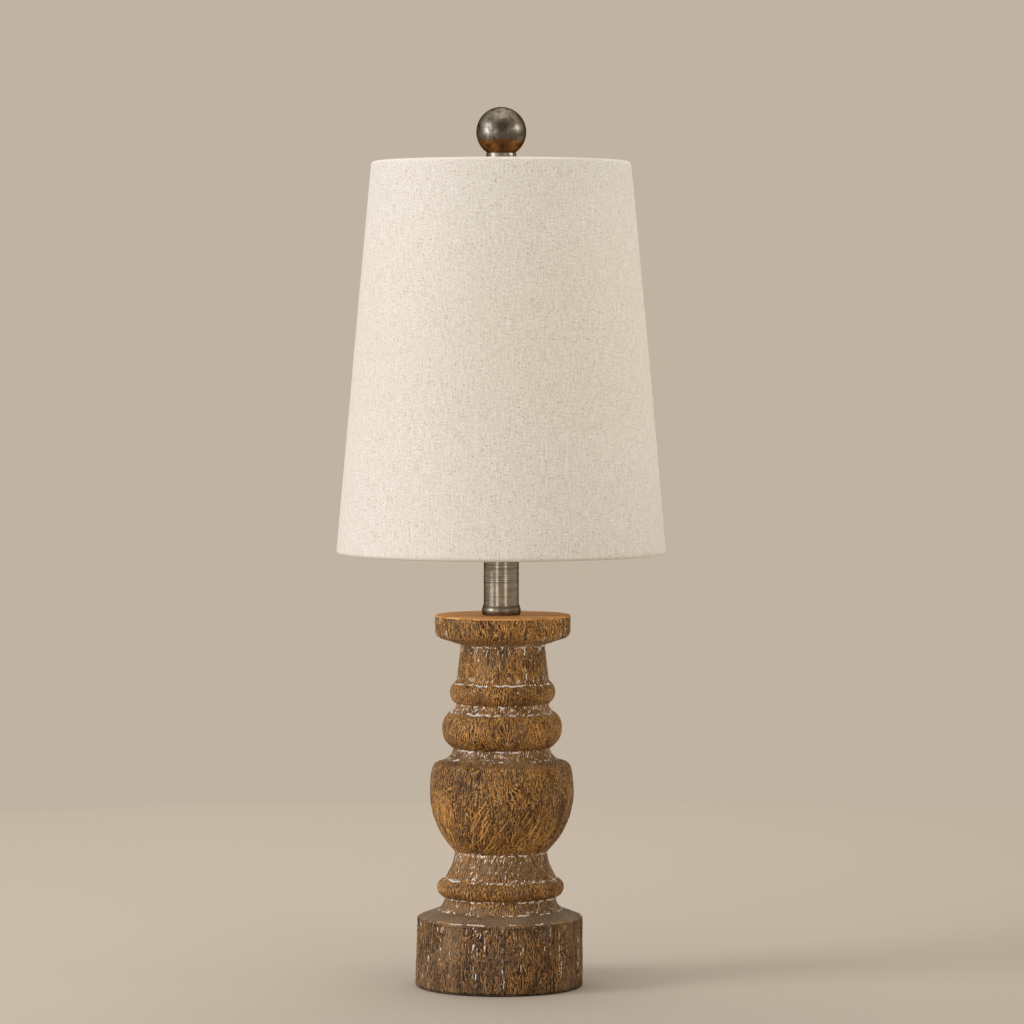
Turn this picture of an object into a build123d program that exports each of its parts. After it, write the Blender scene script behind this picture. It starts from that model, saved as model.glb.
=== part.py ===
from build123d import *

import os
from math import cos, hypot, radians, sin, sqrt

# A small table lamp: a turned wooden column on a round plinth, a metal neck, a harp that
# carries a tapered drum shade, and a ball finial that holds the shade down.
# Millimetres, +Z up. The origin is the middle of the felt pad's underside, the cord inlet
# faces +Y and the harp lies in the XZ plane. Threads are plain cylinders at their
# outside diameter. A profile is drawn on Plane.XZ, as radius and height, and revolved.

# ---------------------------------------------------------------- clearances
thread_gap = 0.06  # radial, on a screwed pair
push_gap = 0.1  # radial, on parts pushed together
slide_gap = 0.15  # radial, on parts that slide by hand
rest_gap = 0.3  # between parts that meet but must move apart

radius_tolerance = 0.01  # for finding a circular edge by its radius

# ---------------------------------------------------------------- felt pad and plinth
felt_thickness = 1.5
felt_inset = 2.0
felt_stand_out = 0.5  # how far the pad reaches below the plinth, from its recess
plinth_bottom_radius = 52.5
plinth_top_radius = 51.9
plinth_side_height = 43.0
plinth_top_rise = 4.5
plinth_edge_radius = 1.2
foot_margin = 0.2
recess_radius = 38.0
recess_depth = 29.5
tenon_radius = 14.0
tenon_length = 10.0

# ---------------------------------------------------------------- turned column
foot_radius = 39.8
foot_height = 8.2
foot_hollow = 1.5
low_groove_radius = 35.3
low_bead_height = 11.6
low_bead_bulge = 4.6
waist_height = 16.9
waist_radius = 29.2
waist_hollow = 1.3
urn_radius = 45.2
urn_lower_height = 37.5
urn_upper_height = 15.0
shoulder_radius = 43.4
shoulder_height = 3.7
shoulder_bulge = 0.9
shoulder_top_radius = 39.0
cove_radius = 30.0
cove_height = 8.7
cove_hollow = 1.9
cushion_height = 22.4
cushion_bulge = 6.0
cushion_top_radius = 33.0
small_cove_radius = 29.1
small_cove_height = 5.6
small_cove_hollow = 1.2
top_bead_height = 14.2
top_bead_bulge = 4.15
neck_base_radius = 28.8
neck_top_radius = 26.4
neck_height = 22.5
dish_radius = 42.6
dish_corner_radius = 37.8
dish_corner_bulge = 1.3
dish_under_height = 3.9
dish_corner_height = 4.8
dish_side_height = 10.0
dish_edge_radius = 0.8

# ---------------------------------------------------------------- rod, ballast and fasteners
pipe_radius = 4.95
pipe_bore_radius = 3.2
pipe_tail = 1.3
pipe_top_length = 6.0
ballast_radius = 36.5
ballast_thickness = 12.0
ballast_chamfer = 1.0
washer_radius = 12.0
washer_thickness = 1.6
bottom_nut_height = 5.0
nut_across_flats = 14.3
saddle_nut_height = 3.2

# ---------------------------------------------------------------- cord inlet
inlet_height = 10.0
bushing_radius = 4.8
bushing_bore_radius = 3.4
bushing_flange_radius = 7.0
bushing_flange_thickness = 1.5
bushing_stand_out = 0.4
bushing_edge_radius = 0.5

# ---------------------------------------------------------------- metal neck
tube_radius = 11.0
tube_wall = 0.8
tube_top_height = 51.4
tube_seat_depth = 2.0
ring_radius = 12.2
ring_foot_radius = 11.4
ring_lip_radius = 11.5
ring_height = 6.3
ring_bead_height = 5.4
ring_lip_step = 0.3
tube_groove_depth = 0.25
tube_groove_width = 0.6
tube_groove_heights = (16.7, 27.9)
cap_radius = 12.2
cap_thickness = 3.2
cap_plug_depth = 3.0
cap_edge_radius = 0.8

# ---------------------------------------------------------------- harp and saddle
wire_radius = 1.5
harp_foot_radius = 27.0
harp_height = 214.0
harp_straight = 34.0
harp_flare_radius = 45.0
harp_flare_angle = 33.0
harp_flare_straight = 8.0
harp_shoulder_angle = 35.0
harp_shoulder_radius = 27.0
crown_length = 26.0
crown_width = 9.0
crown_height = 4.6
crown_socket_depth = 5.0
crown_edge_radius = 0.6
saddle_thickness = 1.6
saddle_width = 14.0
saddle_end_width = 5.0
post_wall = 0.8
post_height = 12.0
ferrule_wall = 0.7
ferrule_length = 14.0
ferrule_lip = 0.5

# ---------------------------------------------------------------- swivel stud
stud_radius = 3.17
stud_length = 13.5
stud_flange_radius = 6.5
stud_flange_thickness = 1.8
stud_lift = 0.2
stud_chamfer = 0.6
rivet_shank_radius = 2.55
rivet_head_radius = 4.2
rivet_head_thickness = 1.6

# ---------------------------------------------------------------- socket
socket_hub_radius = 8.5
socket_hub_height = 6.0
socket_dome_height = 8.3
socket_dome_bulge = 2.3
socket_cap_radius = 17.2
socket_cap_wall = 0.8
socket_cap_skirt = 7.0
socket_cap_floor = 1.6
socket_seat_inner_radius = 12.0
socket_seat_height = 13.8
shell_wall = 0.5
shell_height = 46.0
shell_rim_stand_out = 0.6
liner_wall = 0.7
liner_set_back = 0.8
socket_body_radius = 13.5
socket_body_height = 22.0
socket_body_flange = 3.0
screw_shell_wall = 0.4
screw_shell_height = 23.0
screw_shell_floor_radius = 5.0
contact_width = 5.0
contact_span = 8.0
contact_thickness = 0.5
contact_rise = 2.6
terminal_screw_radius = 2.6
terminal_screw_head = 1.0
terminal_screw_shank_radius = 1.4
terminal_screw_length = 5.0
terminal_height = 9.0
set_screw_radius = 1.6
set_screw_head_radius = 2.4
set_screw_head_length = 1.8
set_screw_height = 3.2
set_screw_slot_depth = 0.8
set_screw_slot_width = 0.7

# ---------------------------------------------------------------- turn key
key_height = 14.0
key_shaft_radius = 2.0
key_shaft_end = 31.5
key_shaft_inner_end = 2.0
key_bushing_radius = 3.5
key_collar_radius = 5.4
key_collar_length = 2.4
knob_radius = 5.5
knob_length = 12.0
knob_gap = 3.0
knob_flutes = 12
knob_flute_radius = 0.9
knob_edge_radius = 0.8

# ---------------------------------------------------------------- bulb
bulb_radius = 30.0
bulb_length = 108.0
bulb_neck_radius = 12.6
bulb_flare_drop = 51.0
bulb_wall = 0.9
bulb_cap_radius = 13.1
bulb_cap_wall = 0.4
bulb_cap_height = 20.7
bulb_cap_taper_height = 4.0
bulb_cap_foot_radius = 10.4
bulb_tip_radius = 3.2
bulb_tip_height = 1.4
bulb_insulator_radius = 4.2
bulb_insulator_height = 3.0
bulb_neck_tuck = 9.0
stem_radius = 3.2
stem_length = 31.0
stem_flange_thickness = 1.8
stem_foot_radius = 4.2
stem_foot_height = 5.4
filament_wire_radius = 0.4
filament_foot = 1.8
filament_half_width = 9.0
filament_height = 20.0
filament_bend_radius = 1.6

# ---------------------------------------------------------------- shade
shade_top_radius = 81.0
shade_bottom_radius = 103.2
shade_height = 244.8
shade_drop = 12.9  # the spider's seat lies this far below the top rim
fabric_thickness = 0.6
glue_gap = 0.25
liner_sheet_thickness = 0.4
ring_wire_radius = 1.3
ring_wire_gap = 0.4
hem_length = 9.0
hem_touch = 4.6
hem_bend = 1.0
hub_radius = 9.0
hub_thickness = 3.4
arm_count = 3
arm_radius = 1.2
arm_flat_length = 38.0
arm_socket_depth = 3.0
arm_bend_radius = 8.0
first_arm_angle = 90.0

# ---------------------------------------------------------------- finial
finial_flange_radius = 9.5
finial_flange_height = 3.0
finial_stem_radius = 6.0
finial_stem_height = 7.5
finial_collar_radius = 9.4
finial_collar_height = 4.4
finial_ball_radius = 15.6
finial_ball_foot_radius = 8.8
finial_spigot_radius = 3.0
finial_spigot_length = 3.0
finial_edge_radius = 0.6
finial_bore_spare = 1.0

# ---------------------------------------------------------------- levels, worked out from the sizes
plinth_bottom_z = felt_stand_out
crease_z = plinth_bottom_z + plinth_side_height
foot_z = crease_z + plinth_top_rise
felt_radius = plinth_bottom_radius - felt_inset
foot_seat_radius = foot_radius + foot_margin
recess_top_z = plinth_bottom_z + recess_depth
ballast_z = recess_top_z - ballast_thickness
washer_z = ballast_z - washer_thickness
bottom_nut_z = washer_z - bottom_nut_height
pipe_bottom_z = bottom_nut_z - pipe_tail

low_groove_z = foot_z + foot_height
low_bead_top_z = low_groove_z + low_bead_height
waist_top_z = low_bead_top_z + waist_height
urn_z = waist_top_z + urn_lower_height
shoulder_z = urn_z + urn_upper_height
shoulder_top_z = shoulder_z + shoulder_height
cove_top_z = shoulder_top_z + cove_height
cushion_top_z = cove_top_z + cushion_height
small_cove_top_z = cushion_top_z + small_cove_height
top_bead_top_z = small_cove_top_z + top_bead_height
neck_top_z = top_bead_top_z + neck_height
dish_corner_z = neck_top_z + dish_under_height
dish_side_z = dish_corner_z + dish_corner_height
dish_top_z = dish_side_z + dish_side_height

tube_z = dish_top_z + ring_height - tube_seat_depth
tube_top_z = dish_top_z + tube_top_height
saddle_z = tube_top_z + cap_thickness
saddle_top_z = saddle_z + saddle_thickness
socket_z = saddle_top_z + saddle_nut_height
pipe_top_z = socket_z + pipe_top_length
pipe_hole_radius = pipe_radius + thread_gap

harp_bottom_z = saddle_top_z + rest_gap
seat_z = saddle_top_z + harp_height
crown_top_z = seat_z - stud_flange_thickness - stud_lift
crown_z = crown_top_z - crown_height
wire_top_z = crown_z + crown_height / 2
stud_top_z = seat_z + stud_length

socket_seat_z = socket_z + socket_seat_height
socket_cap_top_z = socket_seat_z + socket_cap_skirt
shell_radius = socket_cap_radius - socket_cap_wall - push_gap
shell_top_z = socket_seat_z + shell_height
liner_radius = shell_radius - shell_wall - push_gap
socket_body_top_z = socket_seat_z + socket_body_height
key_z = socket_seat_z + key_height
contact_top_z = socket_body_top_z + contact_rise

bulb_tip_z = contact_top_z + rest_gap
bulb_insulator_z = bulb_tip_z + bulb_tip_height
bulb_cap_z = bulb_insulator_z + bulb_insulator_height
bulb_cap_top_z = bulb_cap_z + bulb_cap_height
bulb_top_z = bulb_tip_z + bulb_length
bulb_centre_z = bulb_top_z - bulb_radius
bulb_neck_z = bulb_cap_top_z - bulb_neck_tuck

shade_top_z = seat_z + shade_drop
shade_bottom_z = shade_top_z - shade_height
hub_top_z = seat_z + hub_thickness
hub_middle_z = seat_z + hub_thickness / 2

finial_stem_z = hub_top_z + finial_flange_height
finial_collar_z = finial_stem_z + finial_stem_height
finial_collar_top_z = finial_collar_z + finial_collar_height
finial_ball_z = finial_collar_top_z + sqrt(finial_ball_radius**2 - finial_ball_foot_radius**2)


# ---------------------------------------------------------------- helpers
def ring_face(outer_radius, inner_radius):
    """Draws a ring on the sketch in hand."""
    Circle(outer_radius)
    Circle(inner_radius, mode=Mode.SUBTRACT)


def nut_face():
    """Draws the face of a hexagon nut for the lamp pipe on the sketch in hand."""
    RegularPolygon(nut_across_flats / 2, 6, major_radius=False)
    Circle(pipe_hole_radius, mode=Mode.SUBTRACT)


def hollow_arc(start, end, depth):
    """Draws an arc that climbs a profile and bends in towards the axis by a depth."""
    SagittaArc(start, end, depth)


def bulge_arc(start, end, depth):
    """Draws an arc that climbs a profile and swells away from the axis by a depth."""
    SagittaArc(start, end, -depth)


def upright_arc_radius(across, along):
    """Radius of an arc that starts square to its across direction and drifts off by it."""
    return (across**2 + along**2) / (2 * across)


def circles_of_radius(piece, radius):
    """The circular edges of a piece that have a given radius."""
    circles = piece.edges().filter_by(GeomType.CIRCLE)
    return circles.filter_by(lambda edge: abs(edge.radius - radius) < radius_tolerance)


def save(piece, name):
    """Labels a finished piece and writes it as the node of that name."""
    piece.part.label = name
    export_step(piece.part, f"parts/{name}.step")


os.makedirs("parts", exist_ok=True)

# ---------------------------------------------------------------- base: felt, plinth, column
with BuildPart() as felt_pad:
    with BuildSketch():
        Circle(felt_radius)
    extrude(amount=felt_thickness)

# The wall ends in a rounded edge, then the top rises in a shallow cone to the column's foot.
with BuildPart() as plinth:
    with BuildSketch(Plane.XZ):
        with BuildLine():
            Polyline(
                (pipe_hole_radius, recess_top_z),
                (recess_radius, recess_top_z),
                (recess_radius, felt_thickness),
                (felt_radius + push_gap, felt_thickness),
                (felt_radius + push_gap, plinth_bottom_z),
                (plinth_bottom_radius, plinth_bottom_z),
                (plinth_top_radius, crease_z),
                (foot_seat_radius, foot_z),
                (tenon_radius + push_gap, foot_z),
                (tenon_radius + push_gap, foot_z - tenon_length - rest_gap),
                (pipe_hole_radius, foot_z - tenon_length - rest_gap),
                close=True,
            )
        make_face()
    revolve(axis=Axis.Z)
    fillet(circles_of_radius(plinth, plinth_top_radius), plinth_edge_radius)
    fillet(circles_of_radius(plinth, plinth_bottom_radius), plinth_edge_radius)
    # The inlet's hole through the back wall, and the flat that its bushing sits on.
    inlet_z = plinth_bottom_z + inlet_height
    bushing_seat_y = (
        plinth_bottom_radius + bushing_stand_out - bushing_flange_thickness
    )
    with BuildSketch(Plane.XZ):
        with Locations((0, inlet_z)):
            Circle(bushing_radius + push_gap)
    extrude(amount=-plinth_bottom_radius, mode=Mode.SUBTRACT)
    with BuildSketch(Plane.XZ.offset(-bushing_seat_y)):
        with Locations((0, inlet_z)):
            Circle(bushing_flange_radius + push_gap)
    extrude(amount=-plinth_bottom_radius, mode=Mode.SUBTRACT)

# The profile climbs the outside from the foot: each arc is a hollow or a bulge off its chord.
with BuildPart() as turned_column:
    with BuildSketch(Plane.XZ):
        with BuildLine():
            foot = (foot_radius, foot_z)
            low_groove = (low_groove_radius, low_groove_z)
            low_bead_top = (low_groove_radius, low_bead_top_z)
            waist = (waist_radius, waist_top_z)
            urn = (urn_radius, urn_z)
            shoulder = (shoulder_radius, shoulder_z)
            shoulder_top = (shoulder_top_radius, shoulder_top_z)
            cove_top = (cove_radius, cove_top_z)
            cushion_top = (cushion_top_radius, cushion_top_z)
            small_cove_top = (small_cove_radius, small_cove_top_z)
            neck_base = (neck_base_radius, top_bead_top_z)
            dish_corner = (dish_corner_radius, dish_corner_z)
            dish_side = (dish_radius, dish_side_z)
            hollow_arc(foot, low_groove, foot_hollow)
            bulge_arc(low_groove, low_bead_top, low_bead_bulge)
            hollow_arc(low_bead_top, waist, waist_hollow)
            RadiusArc(waist, urn, -upright_arc_radius(urn_radius - waist_radius, urn_lower_height))
            RadiusArc(
                urn, shoulder, -upright_arc_radius(urn_radius - shoulder_radius, urn_upper_height)
            )
            bulge_arc(shoulder, shoulder_top, shoulder_bulge)
            hollow_arc(shoulder_top, cove_top, cove_hollow)
            bulge_arc(cove_top, cushion_top, cushion_bulge)
            hollow_arc(cushion_top, small_cove_top, small_cove_hollow)
            bulge_arc(small_cove_top, neck_base, top_bead_bulge)
            Polyline(neck_base, (neck_top_radius, neck_top_z), dish_corner)
            bulge_arc(dish_corner, dish_side, dish_corner_bulge)
            Polyline(
                dish_side,
                (dish_radius, dish_top_z),
                (pipe_hole_radius, dish_top_z),
                (pipe_hole_radius, foot_z - tenon_length),
                (tenon_radius, foot_z - tenon_length),
                (tenon_radius, foot_z),
                foot,
            )
        make_face()
    revolve(axis=Axis.Z)
    dish_rim = circles_of_radius(turned_column, dish_radius).sort_by(Axis.Z)[-1]
    fillet(dish_rim, dish_edge_radius)

# ---------------------------------------------------------------- base: rod and fasteners
with BuildPart() as ballast_weight:
    with BuildSketch(Plane.XY.offset(ballast_z)):
        ring_face(ballast_radius, pipe_hole_radius)
    extrude(amount=ballast_thickness)
    chamfer(circles_of_radius(ballast_weight, ballast_radius), ballast_chamfer)

with BuildPart() as lamp_pipe:
    with BuildSketch(Plane.XY.offset(pipe_bottom_z)):
        ring_face(pipe_radius, pipe_bore_radius)
    extrude(amount=pipe_top_z - pipe_bottom_z)

with BuildPart() as bottom_washer:
    with BuildSketch(Plane.XY.offset(washer_z)):
        ring_face(washer_radius, pipe_hole_radius)
    extrude(amount=washer_thickness)

with BuildPart() as bottom_nut:
    with BuildSketch(Plane.XY.offset(bottom_nut_z)):
        nut_face()
    extrude(amount=bottom_nut_height)

with BuildPart() as cord_bushing:
    with BuildSketch(Plane.XZ.offset(-recess_radius)):
        with Locations((0, inlet_z)):
            Circle(bushing_radius)
    extrude(amount=recess_radius - bushing_seat_y)
    with BuildSketch(Plane.XZ.offset(-bushing_seat_y)):
        with Locations((0, inlet_z)):
            Circle(bushing_flange_radius)
    extrude(amount=-bushing_flange_thickness)
    fillet(cord_bushing.edges().group_by(Axis.Y)[-1], bushing_edge_radius)
    with BuildSketch(Plane.XZ.offset(-recess_radius)):
        with Locations((0, inlet_z)):
            Circle(bushing_bore_radius)
    extrude(
        amount=recess_radius - bushing_seat_y - bushing_flange_thickness,
        mode=Mode.SUBTRACT,
    )

# ---------------------------------------------------------------- metal neck
with BuildPart() as neck_ring:
    with BuildSketch(Plane.XZ):
        with BuildLine():
            ring_bead_z = dish_top_z + ring_bead_height
            ring_top_z = dish_top_z + ring_height
            ThreePointArc(
                (ring_foot_radius, dish_top_z),
                (ring_radius, dish_top_z + ring_bead_height / 2),
                (ring_foot_radius, ring_bead_z),
            )
            Polyline(
                (ring_foot_radius, ring_bead_z),
                (ring_lip_radius, ring_bead_z + ring_lip_step),
                (ring_lip_radius, ring_top_z),
                (tube_radius + push_gap, ring_top_z),
                (tube_radius + push_gap, tube_z),
                (pipe_hole_radius, tube_z),
                (pipe_hole_radius, dish_top_z),
                (ring_foot_radius, dish_top_z),
            )
        make_face()
    revolve(axis=Axis.Z)

with BuildPart() as neck_tube:
    with BuildSketch(Plane.XY.offset(tube_z)):
        ring_face(tube_radius, tube_radius - tube_wall)
    extrude(amount=tube_top_z - tube_z)
    for groove_height in tube_groove_heights:
        with BuildSketch(Plane.XZ):
            with Locations((tube_radius, dish_top_z + groove_height)):
                Rectangle(2 * tube_groove_depth, tube_groove_width)
        revolve(axis=Axis.Z, mode=Mode.SUBTRACT)

with BuildPart() as neck_cap:
    with BuildSketch(Plane.XY.offset(tube_top_z)):
        ring_face(tube_radius - tube_wall - push_gap, pipe_hole_radius)
    extrude(amount=-cap_plug_depth)
    with BuildSketch(Plane.XY.offset(tube_top_z)):
        ring_face(cap_radius, pipe_hole_radius)
    extrude(amount=cap_thickness)
    fillet(circles_of_radius(neck_cap, cap_radius), cap_edge_radius)

# ---------------------------------------------------------------- harp saddle and its nut
post_inner_radius = wire_radius + slide_gap
post_outer_radius = post_inner_radius + post_wall
saddle_end_x = harp_foot_radius + post_outer_radius
with BuildPart() as harp_saddle:
    with BuildSketch(Plane.XY.offset(saddle_z)):
        Circle(saddle_width / 2)
        Rectangle(2 * saddle_end_x, saddle_end_width)
        Circle(pipe_hole_radius, mode=Mode.SUBTRACT)
    extrude(amount=saddle_thickness)
    # Each end turns up into a half-round channel, open outwards, that holds a harp leg.
    for side in (-1, 1):
        with BuildSketch(Plane.XY.offset(saddle_top_z)):
            with Locations((side * harp_foot_radius, 0)):
                ring_face(post_outer_radius, post_inner_radius)
                Rectangle(
                    post_outer_radius,
                    2 * post_outer_radius,
                    align=(Align.MIN if side > 0 else Align.MAX, Align.CENTER),
                    mode=Mode.SUBTRACT,
                )
        extrude(amount=post_height)

with BuildPart() as saddle_nut:
    with BuildSketch(Plane.XY.offset(saddle_top_z)):
        nut_face()
    extrude(amount=saddle_nut_height)

# ---------------------------------------------------------------- harp
def harp_path(side):
    """Draws one leg's centreline on Plane.XZ, from the saddle up to the crown.

    Seen from the front, a positive angle turns anticlockwise. The long middle arc has
    the radius that makes the leg arrive level with the crown's socket."""
    flare, turn = radians(harp_flare_angle), radians(harp_shoulder_angle)
    leg_x = side * harp_foot_radius
    leg = Line((leg_x, harp_bottom_z), (leg_x, harp_bottom_z + harp_straight))
    flare_arc = JernArc(leg @ 1, leg % 1, harp_flare_radius, -side * harp_flare_angle)
    sway_start = flare_arc @ 1 + (flare_arc % 1) * harp_flare_straight
    Line(flare_arc @ 1, sway_start)
    rise = wire_top_z - sway_start.Z - harp_shoulder_radius * (1 - sin(turn))
    sway_radius = rise / (sin(flare) + sin(turn))
    sway_angle = side * (harp_flare_angle + harp_shoulder_angle)
    sway_arc = JernArc(sway_start, flare_arc % 1, sway_radius, sway_angle)
    shoulder_angle = side * (90 - harp_shoulder_angle)
    shoulder_arc = JernArc(sway_arc @ 1, sway_arc % 1, harp_shoulder_radius, shoulder_angle)
    wire_end_x = side * (crown_length / 2 - crown_socket_depth + push_gap)
    Line(shoulder_arc @ 1, Vector(wire_end_x, 0, wire_top_z))


with BuildPart() as harp_wire_left:
    with BuildLine(Plane.XZ):
        harp_path(-1)
    with BuildSketch(Plane((-harp_foot_radius, 0, harp_bottom_z))):
        Circle(wire_radius)
    sweep()

with BuildPart() as harp_wire_right:
    with BuildLine(Plane.XZ):
        harp_path(1)
    with BuildSketch(Plane((harp_foot_radius, 0, harp_bottom_z))):
        Circle(wire_radius)
    sweep()

with BuildPart() as harp_crown:
    with BuildSketch(Plane.XY.offset(crown_z)):
        SlotOverall(crown_length, crown_width)
    extrude(amount=crown_height)
    fillet(harp_crown.edges().group_by(Axis.Z)[-1], crown_edge_radius)
    with BuildSketch(Plane.XY.offset(crown_z)):
        Circle(rivet_shank_radius + push_gap)
    extrude(amount=crown_height, mode=Mode.SUBTRACT)
    for side in (-1, 1):
        with BuildSketch(Plane.YZ.offset(side * crown_length / 2)):
            with Locations((0, wire_top_z)):
                Circle(wire_radius + push_gap)
        extrude(amount=-side * crown_socket_depth, mode=Mode.SUBTRACT)

ferrule_inner_radius = post_outer_radius + slide_gap
ferrule_outer_radius = ferrule_inner_radius + ferrule_wall


with BuildPart() as harp_ferrule_left:
    with BuildSketch(Plane.XY.offset(saddle_top_z)):
        with Locations((-harp_foot_radius, 0)):
            ring_face(ferrule_outer_radius, ferrule_inner_radius)
    extrude(amount=ferrule_length)
    with BuildSketch(Plane.XY.offset(saddle_top_z)):
        with Locations((-harp_foot_radius, 0)):
            ring_face(ferrule_outer_radius + ferrule_lip, ferrule_inner_radius)
    extrude(amount=2 * ferrule_lip)

with BuildPart() as harp_ferrule_right:
    with BuildSketch(Plane.XY.offset(saddle_top_z)):
        with Locations((harp_foot_radius, 0)):
            ring_face(ferrule_outer_radius, ferrule_inner_radius)
    extrude(amount=ferrule_length)
    with BuildSketch(Plane.XY.offset(saddle_top_z)):
        with Locations((harp_foot_radius, 0)):
            ring_face(ferrule_outer_radius + ferrule_lip, ferrule_inner_radius)
    extrude(amount=2 * ferrule_lip)

with BuildPart() as swivel_stud:
    with BuildSketch(Plane.XZ):
        with BuildLine():
            head_z = crown_z - rest_gap
            Polyline(
                (0, head_z - rivet_head_thickness),
                (rivet_head_radius, head_z - rivet_head_thickness),
                (rivet_head_radius, head_z),
                (rivet_shank_radius, head_z),
                (rivet_shank_radius, seat_z - stud_flange_thickness),
                (stud_flange_radius, seat_z - stud_flange_thickness),
                (stud_flange_radius, seat_z),
                (stud_radius, seat_z),
                (stud_radius, stud_top_z),
                (0, stud_top_z),
                close=True,
            )
        make_face()
    revolve(axis=Axis.Z)
    chamfer(swivel_stud.edges().group_by(Axis.Z)[-1], stud_chamfer)

# ---------------------------------------------------------------- socket
with BuildPart() as socket_cap:
    with BuildSketch(Plane.XZ):
        with BuildLine():
            hub_top = (socket_hub_radius, socket_z + socket_hub_height)
            dome_top = (socket_cap_radius, hub_top[1] + socket_dome_height)
            cup_floor_z = hub_top[1] + socket_cap_floor
            cup_radius = socket_cap_radius - socket_cap_wall
            bulge_arc(hub_top, dome_top, socket_dome_bulge)
            Polyline(
                dome_top,
                (socket_cap_radius, socket_cap_top_z),
                (cup_radius, socket_cap_top_z),
                (cup_radius, socket_seat_z),
                (socket_seat_inner_radius, socket_seat_z),
                (socket_hub_radius - socket_cap_wall, cup_floor_z),
                (pipe_hole_radius, cup_floor_z),
                (pipe_hole_radius, socket_z),
                (socket_hub_radius, socket_z),
                hub_top,
            )
        make_face()
    revolve(axis=Axis.Z)
    # The tapped hole for the set screw, in the back of the hub.
    with BuildSketch(Plane.XZ):
        with Locations((0, socket_z + set_screw_height)):
            Circle(set_screw_radius + thread_gap)
    extrude(amount=-socket_cap_radius, mode=Mode.SUBTRACT)

with BuildPart() as socket_set_screw:
    with BuildSketch(Plane.XZ.offset(-pipe_radius - thread_gap)):
        with Locations((0, socket_z + set_screw_height)):
            Circle(set_screw_radius)
    extrude(amount=pipe_radius + thread_gap - socket_hub_radius - push_gap)
    with BuildSketch(Plane.XZ.offset(-socket_hub_radius - push_gap)):
        with Locations((0, socket_z + set_screw_height)):
            Circle(set_screw_head_radius)
    extrude(amount=-set_screw_head_length)
    slot_y = socket_hub_radius + push_gap + set_screw_head_length
    with Locations((0, slot_y, socket_z + set_screw_height)):
        Box(
            2 * set_screw_head_radius,
            2 * set_screw_slot_depth,
            set_screw_slot_width,
            mode=Mode.SUBTRACT,
        )

key_hole_radius = key_bushing_radius + push_gap
with BuildPart() as socket_shell:
    with BuildSketch(Plane.XY.offset(socket_seat_z)):
        ring_face(shell_radius, shell_radius - shell_wall)
    extrude(amount=shell_height)
    with BuildSketch(Plane.XY.offset(shell_top_z)):
        ring_face(shell_radius + shell_rim_stand_out, shell_radius - shell_wall)
    extrude(amount=-2 * shell_rim_stand_out)
    with BuildSketch(Plane.XZ):
        with Locations((0, key_z)):
            Circle(key_hole_radius)
    extrude(amount=shell_radius, mode=Mode.SUBTRACT)

with BuildPart() as socket_liner:
    with BuildSketch(Plane.XY.offset(socket_seat_z)):
        ring_face(liner_radius, liner_radius - liner_wall)
    extrude(amount=shell_height - liner_set_back)
    with BuildSketch(Plane.XZ):
        with Locations((0, key_z)):
            Circle(key_hole_radius)
    extrude(amount=shell_radius, mode=Mode.SUBTRACT)

body_flange_radius = liner_radius - liner_wall - push_gap
with BuildPart() as socket_body:
    with BuildSketch(Plane.XY.offset(socket_seat_z)):
        Circle(body_flange_radius)
    extrude(amount=socket_body_flange)
    with BuildSketch(Plane.XY.offset(socket_seat_z)):
        Circle(socket_body_radius)
    extrude(amount=socket_body_height)
    with BuildSketch(Plane.XZ):
        with Locations((0, key_z)):
            Circle(key_shaft_radius + thread_gap)
    extrude(amount=socket_body_radius, mode=Mode.SUBTRACT)
    # Tapped holes for the terminal screws, one on each side.
    terminal_z = socket_seat_z + terminal_height
    for side in (-1, 1):
        with BuildSketch(Plane.YZ.offset(side * socket_body_radius)):
            with Locations((0, terminal_z)):
                Circle(terminal_screw_shank_radius + thread_gap)
        extrude(amount=-side * terminal_screw_length, mode=Mode.SUBTRACT)

with BuildPart() as terminal_screws:
    for side in (-1, 1):
        with BuildSketch(Plane.YZ.offset(side * socket_body_radius)):
            with Locations((0, terminal_z)):
                Circle(terminal_screw_shank_radius)
        extrude(amount=-side * (terminal_screw_length - push_gap))
        with BuildSketch(Plane.YZ.offset(side * socket_body_radius)):
            with Locations((0, terminal_z)):
                Circle(terminal_screw_radius)
        extrude(amount=side * terminal_screw_head)

screw_shell_radius = bulb_cap_radius + rest_gap
with BuildPart() as screw_shell:
    with BuildSketch(Plane.XY.offset(socket_body_top_z)):
        ring_face(screw_shell_radius + screw_shell_wall, screw_shell_radius)
    extrude(amount=screw_shell_height)
    with BuildSketch(Plane.XY.offset(socket_body_top_z)):
        ring_face(screw_shell_radius + screw_shell_wall, screw_shell_floor_radius)
    extrude(amount=screw_shell_wall)

# A sprung brass strip that bows up to meet the bulb's tip.
with BuildPart() as centre_contact:
    with BuildSketch(Plane.XZ.offset(-contact_width / 2)):
        with BuildLine():
            half_span = contact_span / 2
            ThreePointArc(
                (-half_span, socket_body_top_z),
                (0, contact_top_z),
                (half_span, socket_body_top_z),
            )
            Line(
                (half_span, socket_body_top_z),
                (half_span - contact_thickness, socket_body_top_z),
            )
            ThreePointArc(
                (half_span - contact_thickness, socket_body_top_z),
                (0, contact_top_z - contact_thickness),
                (contact_thickness - half_span, socket_body_top_z),
            )
            Line(
                (contact_thickness - half_span, socket_body_top_z),
                (-half_span, socket_body_top_z),
            )
        make_face()
    extrude(amount=contact_width)

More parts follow.
